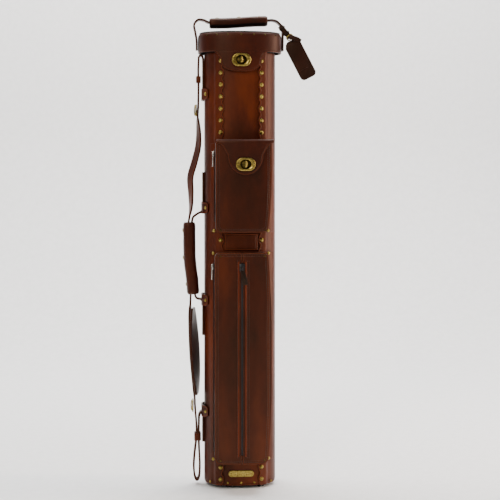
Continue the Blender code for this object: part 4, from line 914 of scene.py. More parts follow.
foot_row = [on_body(a, hinge_out + 0.0002, hinge_low.z + 0.0036)
            for a in spaced(HALF_GIRTH - hinge_half + 0.004, HALF_GIRTH + hinge_half - 0.004, 40)]
stitched("hinge_stitches", [foot_row, [p + Vector((0, 0, 0.0050)) for p in foot_row]], "case")


# ---- Upper pocket -------------------------------------------------------------------------------
# A box pocket: a darker front panel with rounded lower corners, moulded outwards, a gusset round
# three sides, and a back panel whose flange is riveted to the case at its lower corners.

POCKET_BROWN = bridle_leather("oiled_pocket_leather_dark", "190905", "341209", "52220f", 0.38)
POCKET_WALL, POCKET_CORNER = 0.0022, 0.0100
CROWN = 0.0050


def corner_drop(x, half_width, radius):
    """How much a rounded corner takes off a panel's edge at x."""
    over = min(radius, max(0.0, abs(x) - (half_width - radius)))
    return radius - math.sqrt(radius ** 2 - over ** 2)


def copy_of(node, name, material, body, bevel):
    """A piece with exactly a CAD node's form, its cut edges rounded."""
    work = bmesh.new()
    work.from_mesh(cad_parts[node].data)
    bmesh.ops.remove_doubles(work, verts=work.verts, dist=1e-6)
    bmesh.ops.dissolve_limit(work, angle_limit=math.radians(1.0), verts=work.verts, edges=work.edges)
    mesh = bpy.data.meshes.new(name)
    work.to_mesh(mesh)
    work.free()
    mesh.shade_smooth()
    made = bpy.data.objects.new(name, mesh)
    bpy.context.scene.collection.objects.link(made)
    return settle(made, material, body, node, bevel=bevel)


def panel_columns(half_width, radius):
    """The x of each column of a panel, closer together at its rounded corners."""
    right = spaced(0.0, half_width - radius, 14)
    right += [half_width - radius + radius * math.sin(math.pi / 2 * k / 8) for k in range(1, 9)]
    return [-x for x in reversed(right[1:])] + right


def eased_rows(steps=40):
    """Values from 0 to 1, closer together near both ends."""
    waves = [math.cos(math.pi * k / steps) for k in range(steps + 1)]
    return [0.5 - 0.5 * math.copysign(abs(wave) ** 0.8, wave) for wave in waves]


def pocket_panel(name, columns, rows, foot, head, face, bow):
    """A pocket's front: face(x) is the y of its back, foot(x) and head(x) its ends, and bow(x, z)
    where its side has moved to."""
    outline = [(x, foot(x)) for x in columns] + [(x, head(x)) for x in reversed(columns)]
    near_edge = nearness([(bow(x, z), z) for x, z in outline + outline[:1]])

    def place(x, v, thickness):
        z = foot(x) + (head(x) - foot(x)) * v
        x = bow(x, z)
        return at(x, face(x) - thickness, z)

    def edge(x, v):
        z = foot(x) + (head(x) - foot(x)) * v
        return near_edge(bow(x, z), z)

    return sheet_of_leather(name, columns, rows, lambda x, v: place(x, v, POCKET_WALL),
                            lambda x, v: place(x, v, 0.0), edge)


upper_low, upper_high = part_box("upper_pocket_front")
UPPER_HALF = 0.0490
UPPER_SPREAD, UPPER_DRAW_IN = 1.13, 0.15      # of the right side's width, above and at the foot
UPPER_DRAW_Z, UPPER_DRAW_POWER = 0.5700, 1.6  # the side starts to draw in at this height
upper_back = upper_low.y - AXIS.y + POCKET_WALL + CROWN


def upper_face(x):
    return upper_back - CROWN * (1 - (x / UPPER_HALF) ** 2)


def upper_bow(x, z):
    """The pocket's right side stands out, and draws in towards its foot."""
    below = max(0.0, (UPPER_DRAW_Z - z) / (UPPER_DRAW_Z - upper_low.z))
    return x * (UPPER_SPREAD - UPPER_DRAW_IN * below ** UPPER_DRAW_POWER) if x > 0 else x


settle(pocket_panel("upper_front_leather", panel_columns(UPPER_HALF, POCKET_CORNER), eased_rows(60),
                    lambda x: upper_low.z + corner_drop(x, UPPER_HALF, POCKET_CORNER),
                    lambda x: upper_high.z, upper_face, upper_bow),
       POCKET_BROWN, "case", "upper_pocket_front", bevel=0.0008)
copy_of("upper_pocket_gusset", "upper_gusset_leather", POCKET_BROWN, "case", 0.0005)
copy_of("upper_pocket_back", "upper_back_leather", CHESTNUT, "case", CUT_EDGE)


SEAM_INSETS = (0.0036, 0.0066)


def seam_round(low_z, high_z, half, inset, radius, face, bow, closed):
    """A line of stitches inset from a pocket front's edge: down one side, along the foot, and up."""
    half, radius, foot = half - inset, radius - inset * 0.4, low_z + inset
    corner = [(half - radius + radius * math.sin(a), foot + radius - radius * math.cos(a))
              for a in spaced(0, math.pi / 2, 8)]
    right = corner + [(half, high_z - inset)]
    flat = [(-x, z) for x, z in reversed(right)] + [(x, z) for x, z in right]
    if closed:
        flat.append(flat[0])
    line = []
    for (x0, z0), (x1, z1) in zip(flat, flat[1:]):
        steps = max(1, round(math.hypot(x1 - x0, z1 - z0) / 0.004))
        line += [(x0 + (x1 - x0) * k / steps, z0 + (z1 - z0) * k / steps) for k in range(steps)]
    line = [(bow(x, z), z) for x, z in line + [flat[-1]]]
    return [at(x, face(x) - POCKET_WALL - 0.0001, z) for x, z in line]


stitched("upper_stitches", [
    seam_round(upper_low.z, upper_high.z, UPPER_HALF, inset, POCKET_CORNER, upper_face, upper_bow, False)
    for inset in SEAM_INSETS], "case")
POCKET_OUT = LAP_OUT + GAP + POCKET_WALL
RIVET_RADIUS, RIVET_HEIGHT = 0.0030, 0.0019
UPPER_RIVET_X = 0.0515
corners = [off_body(arc_at(x, POCKET_OUT), POCKET_OUT, upper_low.z + 0.0026)
           for x in (-UPPER_RIVET_X, UPPER_RIVET_X)]
studs("upper_rivets", corners, RIVET_RADIUS, RIVET_HEIGHT, "case")


def face_pins(name, places, face):
    """Small blackened pins through a pocket's front, just inside its corners."""
    pins = [(at(x, face(x) - POCKET_WALL, z), FORWARDS) for x, z in places]
    studs(name, pins, SMALL_RIVET, 0.0009, "case", OLD_BRASS)


face_pins("upper_pins", [(-0.0400, upper_low.z + 0.0046), (0.0440, upper_low.z + 0.0046)], upper_face)


# ---- Pocket flap --------------------------------------------------------------------------------
# A flap of the lid's darker hide: its roof is glued to the case above the pocket. It folds forwards
# and hangs down the pocket's front to a rounded tip that carries the second turn lock.

flap_low, flap_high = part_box("pocket_flap")
FLAP_X = 0.0060               # the flap and its lock sit to the right of the case's axis
FLAP_TOP_HALF, FLAP_HALF, FLAP_POWER = 0.0530, 0.0330, 2.0
FLAP_BEND = 0.0060
ROOF_COLUMNS, BEND_COLUMNS, HANG_COLUMNS = 9, 9, 26
flap_drop = flap_high.z - GAP - flap_low.z
flap_back = flap_low.y - AXIS.y + LEATHER + CROWN


def flap_face(x):
    """The y of the flap's back where it hangs, in the case's frame."""
    return flap_back - CROWN * (1 - ((x - FLAP_X) / FLAP_TOP_HALF) ** 2)


def flap_foot(x):
    return flap_high.z - GAP - FLAP_BEND - (1 - FLAP_BEND / flap_drop) * ogee_depth(
        x - FLAP_X, FLAP_TOP_HALF, FLAP_HALF, flap_drop, FLAP_POWER)


def flap_root(x):
    """Where the roof meets the case, which is curved."""
    return min(front_y(x, LAP_OUT + GAP) - AXIS.y, -HALF_DEPTH - PANEL_OUT + 0.0030)


def flap_section(x, depth):
    """The flap's outside at x, as (y, z) points from the case forwards, round the bend, and down."""
    out = depth * LEATHER
    front, top = flap_face(x) - LEATHER + out, flap_high.z - GAP - out
    bend = FLAP_BEND - out
    points = [(y, top) for y in spaced(flap_root(x), front + bend, ROOF_COLUMNS)]
    points += [(front + bend - bend * math.sin(a), top - bend + bend * math.cos(a))
               for a in spaced(0, math.pi / 2, BEND_COLUMNS)[1:]]
    foot, start = flap_foot(x), top - bend
    return points + [(front, start + (foot - start) * (1 - (1 - k / HANG_COLUMNS) ** 1.4))
                     for k in range(1, HANG_COLUMNS + 1)]


flap_columns = [x + FLAP_X for x in ogee_columns(FLAP_TOP_HALF, FLAP_HALF)]
flap_near = nearness([(x, flap_foot(x)) for x in flap_columns])


def flap_point(x, v, depth):
    y, z = flap_section(x, depth)[v]
    return at(x, y, z)


def flap_edge(x, v):
    side = max(0.0, 1 - (FLAP_TOP_HALF - abs(x - FLAP_X)) / EDGE_REACH)
    hangs = v >= ROOF_COLUMNS + BEND_COLUMNS
    return max(side, flap_near(x, flap_section(x, 0)[v][1]) if hangs else 0.0)


flap = sheet_of_leather("flap_leather", flap_columns, range(len(flap_section(0.0, 0))),
                        lambda x, v: flap_point(x, v, 0), lambda x, v: flap_point(x, v, 1), flap_edge)
pocket_lock = sum(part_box("pocket_lock_plate"), Vector()) / 2
flap = cut_by(flap, oblong_bar("flap_cut", SLOT_HALF_LENGTH, SLOT_HALF_HEIGHT, pocket_lock,
                               flap_low.y - 0.01, flap_low.y + 0.012))
settle(flap, MAHOGANY, "pocket_flap", "pocket_flap", bevel=CUT_EDGE)


# ---- Band between the pockets -------------------------------------------------------------------
# A broad band of body leather, glued flat on the front panel in the gap between the two pockets. Its
# straight ends stop between the scalloped edges of the wrapped sheet.

band_low, band_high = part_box("pocket_band")
band_arc = arc_at((band_high.x - band_low.x) / 2, PANEL_OUT + GAP + POCKET_WALL)
band_off = PANEL_OUT + GAP


def band_edge(arc, z):
    inside = min(band_arc - abs(arc), z - band_low.z, band_high.z - z)
    return max(0.0, 1 - inside / EDGE_REACH)


settle(
    sheet_of_leather("band_leather", [(k * 2 - 1) * band_arc for k in eased_rows(60)],
                     [band_low.z + (band_high.z - band_low.z) * k for k in eased_rows(24)],
                     lambda arc, z: on_body(arc, band_off + POCKET_WALL, z),
                     lambda arc, z: on_body(arc, band_off, z), band_edge),
    CHESTNUT, "case", "pocket_band", bevel=CUT_EDGE,
)


# ---- Lower pocket -------------------------------------------------------------------------------
# The long pocket: two front panels of the darker leather meet at a zip, with a gusset all round and
# a back panel riveted at its corners. Its front is double stitched near its edge.

lower_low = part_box("lower_pocket_front_left")[0]
lower_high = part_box("lower_pocket_front_right")[1]
LOWER_HALF = 0.0505
LOWER_END_WIDTH, LOWER_BULGE, LOWER_BULGE_POWER = 0.96, 0.14, 2.5
zip_low, zip_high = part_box("front_zip")
lower_back = lower_low.y - AXIS.y + POCKET_WALL + CROWN
SLOT = 0.0034                 # half the width of the gap that the zip shows in


def lower_face(x):
    return lower_back - CROWN * (1 - (x / LOWER_HALF) ** 2)


def lower_foot(x):
    return lower_low.z + corner_drop(x, LOWER_HALF, POCKET_CORNER)


def lower_head(x):
    return lower_high.z - corner_drop(x, LOWER_HALF, POCKET_CORNER)


def lower_bow(x, z):
    """The lower pocket's right side bulges between its narrower ends."""
    along = 2 * (z - lower_low.z) / (lower_high.z - lower_low.z) - 1
    bulge = LOWER_BULGE * (1 - abs(along) ** LOWER_BULGE_POWER)
    return x * (LOWER_END_WIDTH + bulge) if x > 0 else x


right_columns = [GAP] + [x for x in panel_columns(LOWER_HALF, POCKET_CORNER) if x > 0.001]
for side, name in ((1, "right"), (-1, "left")):
    half = pocket_panel(f"lower_front_leather_{name}", [side * x for x in right_columns], eased_rows(90),
                        lower_foot, lower_head, lower_face, lower_bow)
    ring = [(-SLOT, zip_low.z - GAP), (SLOT, zip_low.z - GAP),
            (SLOT, zip_high.z + GAP), (-SLOT, zip_high.z + GAP)]
    cutter = lofted("zip_cut", [[at(x, y, z) for x, z in ring]
                                for y in (lower_back + 0.01, lower_back - 0.03)])
    half = cut_by(half, cutter)
    settle(half, POCKET_BROWN, "case", f"lower_pocket_front_{name}", bevel=0.0008)
copy_of("lower_pocket_gusset", "lower_gusset_leather", POCKET_BROWN, "case", 0.0005)
copy_of("lower_pocket_back", "lower_back_leather", CHESTNUT, "case", CUT_EDGE)
zip_rows = [[at(side * x, lower_face(x) - POCKET_WALL - 0.0001, z)
             for z in spaced(zip_low.z - 0.004, zip_high.z + 0.004, 90)]
            for side, x in ((-1, 0.0088), (1, 0.0092), (1, 0.0128))]
stitched("lower_stitches", [
    *(seam_round(lower_low.z, lower_high.z, LOWER_HALF, inset, POCKET_CORNER, lower_face, lower_bow, True)
      for inset in SEAM_INSETS),
    *zip_rows], "case")
LOWER_RIVET_X, LOWER_RIVET_IN, LOWER_PIN_IN = 0.0525, 0.0028, 0.0070
corners = [off_body(arc_at(x, POCKET_OUT), POCKET_OUT, z) for x in (-LOWER_RIVET_X, LOWER_RIVET_X)
           for z in (lower_high.z - LOWER_RIVET_IN, lower_low.z + LOWER_RIVET_IN)]
studs("lower_rivets", corners, RIVET_RADIUS, RIVET_HEIGHT, "case")
face_pins("lower_pins", [(x, z) for z in (lower_high.z - LOWER_PIN_IN, lower_low.z + LOWER_PIN_IN)
                         for x in (-0.0400, 0.0420)], lower_face)


# ---- Zip rims -----------------------------------------------------------------------------------
# A narrow rolled strip of paler leather is sewn along each side of the front zip, a little proud of
# the panels. Between it and the teeth lies a flush lip of the panels' own leather.

LIP_IN, LIP_RISE, LIP_SINK = 0.0018, 0.0002, 0.0003
RIM_IN, RIM_OUT, RIM_RISE, RIM_SINK = 0.0052, 0.0084, 0.0009, 0.0002
lip_out = RIM_IN + 0.0006     # the lip's outer edge is tucked under the rim
RIM_TAN = bridle_leather("rolled_edge_leather", "3a1508", "5a2210", "7c3c1f", 0.40)
for side, name in ((1, "right"), (-1, "left")):
    rings = []
    for z in spaced(zip_low.z - 0.0030, zip_high.z + 0.0030, 120):
        ring = []
        for k in range(9):
            turn = math.pi * k / 8
            x = (RIM_IN + RIM_OUT) / 2 - (RIM_OUT - RIM_IN) / 2 * math.cos(turn)
            face = lower_face(x) - POCKET_WALL
            ring.append(at(side * x, face + RIM_SINK - (RIM_RISE + RIM_SINK) * math.sin(turn) ** 0.7, z))
        rings.append(ring)
    settle(lofted(f"zip_rim_{name}", rings), RIM_TAN, "case")
    lip = ((LIP_IN, -LIP_SINK), (LIP_IN, 0.0), (LIP_IN + 0.0003, LIP_RISE),
           (lip_out, LIP_RISE), (lip_out, -LIP_SINK))
    rings = [[at(side * x, lower_face(0.0) - POCKET_WALL - rise, z) for x, rise in lip]
             for z in spaced(zip_low.z + GAP, zip_high.z - GAP, 90)]
    settle(lofted(f"zip_lip_{name}", rings), POCKET_BROWN, "case")


# ---- Zips and sliders ---------------------------------------------------------------------------
# Black nylon zips: a woven tape with moulded teeth down its middle, sewn in behind the leather. The
# front zip has a black slider with a leather pull; the two side zips have small nickel sliders.

def nylon(name, dark, light, roughness):
    """Black nylon or enamel: its tone and surface vary over 1 mm, so its highlights are broken."""
    made, tree, shader = start_material(name)
    place = add(tree, "ShaderNodeTexCoord").outputs["Object"]
    weave = add(tree, "ShaderNodeTexNoise", {"Vector": place, "Scale": 1100.0, "Detail": 2.0})
    tone = colours(add(tree, "ShaderNodeValToRGB", {"Fac": weave.outputs["Fac"]}),
                   (0.35, linear(dark)), (0.70, linear(light)))
    tree.links.new(tone, shader.inputs["Base Color"])
    bump = add(tree, "ShaderNodeBump",
               {"Height": weave.outputs["Fac"], "Strength": 0.3, "Distance": 0.0002})
    tree.links.new(bump.outputs["Normal"], shader.inputs["Normal"])
    shader.inputs["Roughness"].default_value = roughness
    shader.inputs["IOR"].default_value = 1.53
    return made


def nickel_plate():
    """Nickel on cast zinc: a bright grey metal, dulled by wear in patches of about 2 mm."""
    made, tree, shader = start_material("nickel_plated_zinc")
    place = add(tree, "ShaderNodeTexCoord").outputs["Object"]
    wear = add(tree, "ShaderNodeTexNoise", {"Vector": place, "Scale": 500.0, "Detail": 4.0})
    tone = colours(add(tree, "ShaderNodeValToRGB", {"Fac": wear.outputs["Fac"]}),
                   (0.30, linear("8d8a84")), (0.70, linear("c9c6bf")))
    tree.links.new(tone, shader.inputs["Base Color"])
    shader.inputs["Metallic"].default_value = 1.0
    shader.inputs["Roughness"].default_value = 0.27
    return made


TAPE = nylon("woven_nylon_tape", "0a0a0b", "1b1b1d", 0.85)
TEETH = nylon("moulded_nylon_teeth", "0d0d0f", "232326", 0.42)
BLACK_ENAMEL = nylon("black_enamelled_zinc", "0e0e10", "1a1a1d", 0.28)
BLACK_PULL = bridle_leather("waxed_black_leather", "070605", "0f0c0b", "1c1512", 0.42)
NICKEL = nickel_plate()


def tooth_tree():
    """A small tooth on every point, lying along the point's "facing"."""
    tree = bpy.data.node_groups.new("zip_teeth", "GeometryNodeTree")
    given = named_inputs(tree, Width="Float", Finish="Material")
    tooth = add(tree, "GeometryNodeMeshUVSphere", {"Segments": 8, "Rings": 5, "Radius": 1.0})
    facing = add(tree, "GeometryNodeInputNamedAttribute", {"Name": "facing"}, data_type="FLOAT_VECTOR")
    turn = add(tree, "FunctionNodeAlignRotationToVector",
               {"Vector": facing.outputs["Attribute"]}, axis="X")
    shape = add(tree, "ShaderNodeCombineXYZ", {"X": given["Width"], "Y": 0.0006, "Z": 0.0005})
    formed = add(tree, "GeometryNodeTransform",
                 {"Geometry": tooth.outputs["Mesh"], "Scale": shape.outputs[0]})
    laid = add(tree, "GeometryNodeInstanceOnPoints",
               {"Points": given["Geometry"], "Instance": formed.outputs[0], "Rotation": turn.outputs[0]})
    real = add(tree, "GeometryNodeRealizeInstances", {"Geometry": laid.outputs[0]})
    smooth = add(tree, "GeometryNodeSetShadeSmooth", {"Geometry": real.outputs[0]})
    coated = add(tree, "GeometryNodeSetMaterial",
                 {"Geometry": smooth.outputs[0], "Material": given["Finish"]})
    add(tree, "NodeGroupOutput", {0: coated.outputs[0]})
    return tree


ZIP_TEETH = tooth_tree()


TOOTH_PITCH, TOOTH_ASIDE, TOOTH_HALF_WIDTH = 0.0013, 0.0007, 0.0013
TAPE_HALF, TAPE_FRONT, TAPE_BACK = 0.0030, 0.0004, 0.0010    # the tape lies behind the teeth


def zip_chain(name, start, end, across, node):
    """The teeth and tape of a zip from start to end, its width along across."""
    count = int((end - start).length / TOOTH_PITCH)
    mesh = bpy.data.meshes.new(name + "_points")
    places = [start.lerp(end, k / count) + across * (TOOTH_ASIDE if k % 2 else -TOOTH_ASIDE)
              for k in range(count + 1)]
    mesh.from_pydata(places, [], [])
    facing = mesh.attributes.new("facing", "FLOAT_VECTOR", "POINT")
    facing.data.foreach_set("vector", [c for _ in places for c in across])
    teeth = grown(name + "_teeth", mesh, ZIP_TEETH, Width=TOOTH_HALF_WIDTH, Finish=TEETH)
    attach(teeth, "case")
    out = across.cross((end - start).normalized())
    corners = ((TAPE_HALF, TAPE_FRONT), (-TAPE_HALF, TAPE_FRONT),
               (-TAPE_HALF, TAPE_BACK), (TAPE_HALF, TAPE_BACK))
    rings = [[start.lerp(end, k / 40) + across * x + out * y for x, y in corners] for k in range(41)]
    return settle(lofted(name + "_tape", rings), TAPE, "case", node)


zip_y = zip_low.y + 0.0010
zip_chain("front_zip", Vector((AXIS.x, zip_y, zip_low.z)), Vector((AXIS.x, zip_y, zip_high.z)),
          Vector((1, 0, 0)), "front_zip")
for prefix in ("upper", "lower"):
    low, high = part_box(prefix + "_side_zip")
    y = (low.y + high.y) / 2
    zip_chain(prefix + "_side", Vector((low.x + 0.0003, y, low.z)), Vector((low.x + 0.0003, y, high.z)),
              Vector((0, -1, 0)), prefix + "_side_zip")
    copy_of(prefix + "_side_slider", prefix + "_nickel_slider", NICKEL, prefix + "_slider", 0.0005)
copy_of("front_zip_slider", "front_enamel_slider", BLACK_ENAMEL, "front_slider", 0.0004)
copy_of("front_zip_pull", "front_leather_pull", BLACK_PULL, "front_pull", 0.0003)


# ---- Strap anchors ------------------------------------------------------------------------------
# Four short strips of leather flat on the left side, each held down by a leather saddle whose two
# ends are riveted to the body with domed brass studs.

SIDE_ARC = HALF_GIRTH / 2     # the arc of the case's side, from its front


def side_band(name, half_arc, low, high, lift, thickness, *nodes, ends=0.0):
    """A flat strip of leather on the left side, lift(u) off the shell, its ends rounded off."""
    half = (high - low) / 2
    centre = (high + low) / 2

    def reach(u):
        over = max(0.0, abs(u) * half_arc - (half_arc - ends)) / ends if ends else 0.0
        return half * (1 - 0.45 * (1 - math.sqrt(max(0.0, 1 - over * over))))

    def place(u, v, out):
        return on_body(u * half_arc - SIDE_ARC, lift(u) + out, centre + v * reach(u))

    rows = [k * 2 - 1 for k in eased_rows(20)]
    columns = [k * 2 - 1 for k in eased_rows(36)]
    near_edge = nearness([(u * half_arc, reach(u)) for u in columns]
                         + [(u * half_arc, -reach(u)) for u in reversed(columns)]
                         + [(-half_arc, reach(-1))])
    return settle(
        sheet_of_leather(name, columns, rows, lambda u, v: place(u, v, thickness),
                         lambda u, v: place(u, v, 0.0),
                         lambda u, v: near_edge(u * half_arc, v * reach(u))),
        CHESTNUT, "case", *nodes, bevel=CUT_EDGE)


STRAP_WIDTH, STRAP = 0.0180, 0.0038
ON_WRAP = GAP + LEATHER + GAP
SADDLE_HALF_ARC, SADDLE_HALF_HEIGHT, SADDLE_ENDS = 0.0270, 0.0110, 0.0120
SADDLE_RISE_ARC, SADDLE_STUD_ARC = 0.0150, 0.0205


def saddle_lift(u):
    """The saddle lies on the body at its ends, and rises over the strip it holds."""
    away = (1 - abs(u)) * SADDLE_HALF_ARC
    return ON_WRAP + (STRAP - 0.0008) * smooth_step(away / SADDLE_RISE_ARC)


anchor_studs = []
for name, centre in (("strap_anchor_top", 0.7440), ("handle_anchor_top", 0.5280),
                     ("handle_anchor_bottom", 0.3530), ("strap_anchor_bottom", 0.1420)):
    low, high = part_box(name)
    runs_up = high.z - centre > 0.02
    foot, head = (centre, high.z) if runs_up else (low.z, centre)
    side_band(name + "_strip", STRAP_WIDTH / 2, foot, head, lambda u: ON_WRAP, STRAP, name)
    side_band(name + "_saddle", SADDLE_HALF_ARC, centre - SADDLE_HALF_HEIGHT, centre + SADDLE_HALF_HEIGHT,
              saddle_lift, LEATHER, ends=SADDLE_ENDS)
    anchor_studs += [off_body(way * SADDLE_STUD_ARC - SIDE_ARC, ON_WRAP + LEATHER + 0.0006, centre)
                     for way in (-1, 1)]
studs("anchor_studs", anchor_studs, 0.0036, 0.0022, "case")


# ---- Straps -------------------------------------------------------------------------------------
# Bridle leather straps 18 mm wide: one over the lid as the top handle, one for the side handle, and
# the long shoulder strap, which hangs twisted down the left side. Their ends turn into the anchors.

def smooth_path(points, per_span):
    """A Catmull-Rom curve through points of the case's frame, in the world."""
    points = [at(*p) for p in points]
    ends = [2 * points[0] - points[1], *points, 2 * points[-1] - points[-2]]
    path = []
    for a, b, c, d in zip(ends, ends[1:], ends[2:], ends[3:]):
        for k in range(per_span):
            t = k / per_span
            path.append(0.5 * (2 * b + (c - a) * t + (2 * a - 5 * b + 4 * c - d) * t * t
                               + (3 * b - a - 3 * c + d) * t ** 3))
    return path + [points[-1]]


def frames_along(path, twist=None):
    """(point, across, normal) along a path: across lies over the width."""
    found = []
    for i, p in enumerate(path):
        tangent = (path[min(i + 1, len(path) - 1)] - path[max(i - 1, 0)]).normalized()
        wide = Vector((0, 1, 0))
        wide = (wide - wide.dot(tangent) * tangent).normalized()
        if twist:
            wide = Matrix.Rotation(twist(p.z), 3, tangent) @ wide
        found.append((p, wide, tangent.cross(wide)))
    return found


def strap_twist(z):
    """The hanging strap turns forwards below the top buckle and back again over the shoulder pad."""
    for low, high, most in ((0.515, 0.700, -36.0), (0.165, 0.345, 30.0)):
        if low < z < high:
            return math.radians(most) * math.sin(math.pi * (z - low) / (high - low)) ** 0.7
    return 0.0


def strap_form(name, points, width, thickness, per_span=8, twist=None):
    """A strap with rounded long edges and an edge crease on both faces."""
    right = [0.30, 0.50, 0.64, 0.74, 0.82, 0.90, 0.97, 1]
    spots = [-s for s in reversed(right)] + [0] + right
    face = []
    for s in spots:
        over = max(0.0, abs(s) - 0.90) / 0.10
        face.append((s, thickness / 2 * (1 - 0.55 * over * over)))
    near = [max(0.0, 1 - (1 - abs(s)) * width / 2 / EDGE_REACH) for s in spots]
    rings = []
    for p, wide, normal in frames_along(smooth_path(points, per_span), twist):
        ring = [p + wide * (s * width / 2) + normal * t for s, t in face]
        ring += [p + wide * (s * width / 2) - normal * t for s, t in reversed(face)]
        rings.append(ring)
    return lofted(name, rings, edge_values=(near + near[::-1]) * len(rings))


TOP_SIDE_X = LID_HALF_WIDTH + GAP + STRAP / 2
TOP_STRAP = [
    (-TOP_SIDE_X, 0, 0.8290), (-TOP_SIDE_X - 0.0004, 0, 0.8480), (-TOP_SIDE_X - 0.0030, 0, 0.8640),
    (-TOP_SIDE_X - 0.0050, 0, 0.8780), (-0.0800, 0, 0.8870), (-0.0690, 0, 0.8865), (-0.0560, 0, 0.8820),
    (-0.0200, 0, 0.8825), (0.0200, 0, 0.8855), (0.0500, 0, 0.8870), (0.0640, 0, 0.8875),
    (0.0740, 0, 0.8830), (TOP_SIDE_X - 0.0005, 0, 0.8710), (TOP_SIDE_X + 0.0002, 0, 0.8480),
    (TOP_SIDE_X, 0, 0.8290)]
HANDLE_STRAP = [
    (-0.0785, 0, 0.5180), (-0.0840, 0, 0.5145), (-0.0900, 0, 0.5080), (-0.0920, 0, 0.4900),
    (-0.0915, 0, 0.4400), (-0.0885, 0, 0.3900), (-0.0860, 0, 0.3640), (-0.0830, 0, 0.3560),
    (-0.0785, 0, 0.3540)]
SHOULDER_STRAP = [
    (-0.0785, 0, 0.8170), (-0.0795, 0, 0.7900), (-0.0790, 0, 0.7600), (-0.0795, 0, 0.7250),
    (-0.0805, 0, 0.7000), (-0.0785, 0, 0.6700), (-0.0800, 0, 0.6430), (-0.0870, 0, 0.6140),
    (-0.0945, 0, 0.5860), (-0.0935, 0, 0.5570), (-0.0935, 0, 0.5290), (-0.0985, 0, 0.4950),
    (-0.1000, 0, 0.4600), (-0.0990, 0, 0.4250), (-0.0950, 0, 0.3900), (-0.0940, 0, 0.3600),
    (-0.0950, 0, 0.3290), (-0.0930, 0, 0.2900), (-0.0905, 0, 0.2430), (-0.0885, 0, 0.2140),
    (-0.0870, 0, 0.1860), (-0.0860, 0, 0.1600), (-0.0850, 0, 0.1400), (-0.0830, 0, 0.1150),
    (-0.0830, 0, 0.0900), (-0.0865, 0, 0.0600), (-0.0880, 0, 0.0350), (-0.0860, 0, 0.0150),
    (-0.0815, 0, 0.0085), (-0.0775, 0, 0.0170), (-0.0765, 0, 0.0400), (-0.0780, 0, 0.0700),
    (-0.0785, 0, 0.1000), (-0.0780, 0, 0.1300)]
settle(strap_form("top_strap_leather", TOP_STRAP, STRAP_WIDTH, STRAP), MAHOGANY, "top_handle",
       "top_handle_strap")
settle(strap_form("handle_strap_leather", HANDLE_STRAP, STRAP_WIDTH, STRAP), CHESTNUT, "side_straps",
       "handle_strap")
settle(strap_form("shoulder_strap_leather", SHOULDER_STRAP, STRAP_WIDTH, STRAP, twist=strap_twist),
       CHESTNUT, "side_straps", "shoulder_strap")
# Where each strap leaves its anchor the leather bends; these turns are baked in place, fixed to no body.
TURNS = {
    "strap_turn_top": [(-0.0703, 0.8060), (-0.0704, 0.8130), (-0.0722, 0.8182), (-0.0762, 0.8188),
                       (-0.0785, 0.8150)],
    "handle_turn_top": [(-0.0703, 0.5300), (-0.0712, 0.5240), (-0.0745, 0.5198), (-0.0792, 0.5177)],
    "handle_turn_bottom": [(-0.0703, 0.3420), (-0.0712, 0.3485), (-0.0745, 0.3530), (-0.0792, 0.3540)],
    "strap_turn_bottom": [(-0.0780, 0.1270), (-0.0772, 0.1330), (-0.0742, 0.1375), (-0.0704, 0.1400)],
}
for name, points in TURNS.items():
    turn = strap_form(name, [(x, 0, z) for x, z in points], STRAP_WIDTH, STRAP)
    turn.data.materials.append(CHESTNUT)
    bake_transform(turn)


# ---- Handle wraps -------------------------------------------------------------------------------
# A padded sleeve of soft leather is wrapped round the middle of each handle and closed with three
# brass snaps. The top handle's sleeve is coloured near black inside and along its lower side.

def near_black_part(base):
    """The wrap's leather, made near black where the attribute's value is 1."""
    made = base.copy()
    made.name = "soft_wrap_leather_part_near_black"
    tree = made.node_tree
    shader = tree.nodes["Principled BSDF"]
    leather = shader.inputs["Base Color"].links[0].from_socket
    near_black_mask = add(tree, "ShaderNodeAttribute", attribute_name="near_black").outputs["Fac"]
    mixed = add(tree, "ShaderNodeMix", {0: near_black_mask, 6: leather, 7: linear("121010")}, data_type="RGBA")
    tree.links.new(mixed.outputs[2], shader.inputs["Base Color"])
    return made


SOFT_WRAP = near_black_part(MAHOGANY)


def wrap_along(name, points, width, height, wall, body, node, near_black):
    """A soft, crumpled sleeve along a path, open at its ends and a little slimmer there."""
    outer, inner, shades = [], [], []
    count = 48
    path = frames_along(smooth_path(points, 10))
    for i, (p, wide, normal) in enumerate(path):
        end = min(i, len(path) - 1 - i) / (len(path) - 1)
        slim = 1 - 0.16 * max(0.0, 1 - end / 0.05) ** 2
        rings = []
        for shrink in (0.0, wall):
            ring = []
            for k in range(count):
                c, s = math.cos(math.tau * k / count), math.sin(math.tau * k / count)
                reach = math.copysign(abs(c) ** 0.75, c) * (width / 2 * slim - shrink)
                rise = math.copysign(abs(s) ** 0.75, s) * (height / 2 * slim - shrink)
                crumple = 0.0008 * abs(noise.noise(p * 60 + Vector((c, s, 0)) * 1.5)) if not shrink else 0.0
                ring.append(p + wide * reach + normal * rise - (wide * c + normal * s) * crumple)
            rings.append(ring)
        outer.append(rings[0])
        inner.append(rings[1])
        shades.append([near_black(math.tau * k / count) for k in range(count)])
    made = lofted(name, outer + inner[::-1], looped=True)
    values = [v for row in shades for v in row] + [1.0] * (len(inner) * count)
    made.data.attributes.new("near_black", "FLOAT", "POINT").data.foreach_set("value", values)
    return settle(made, SOFT_WRAP, body, node, bevel=0.0005)


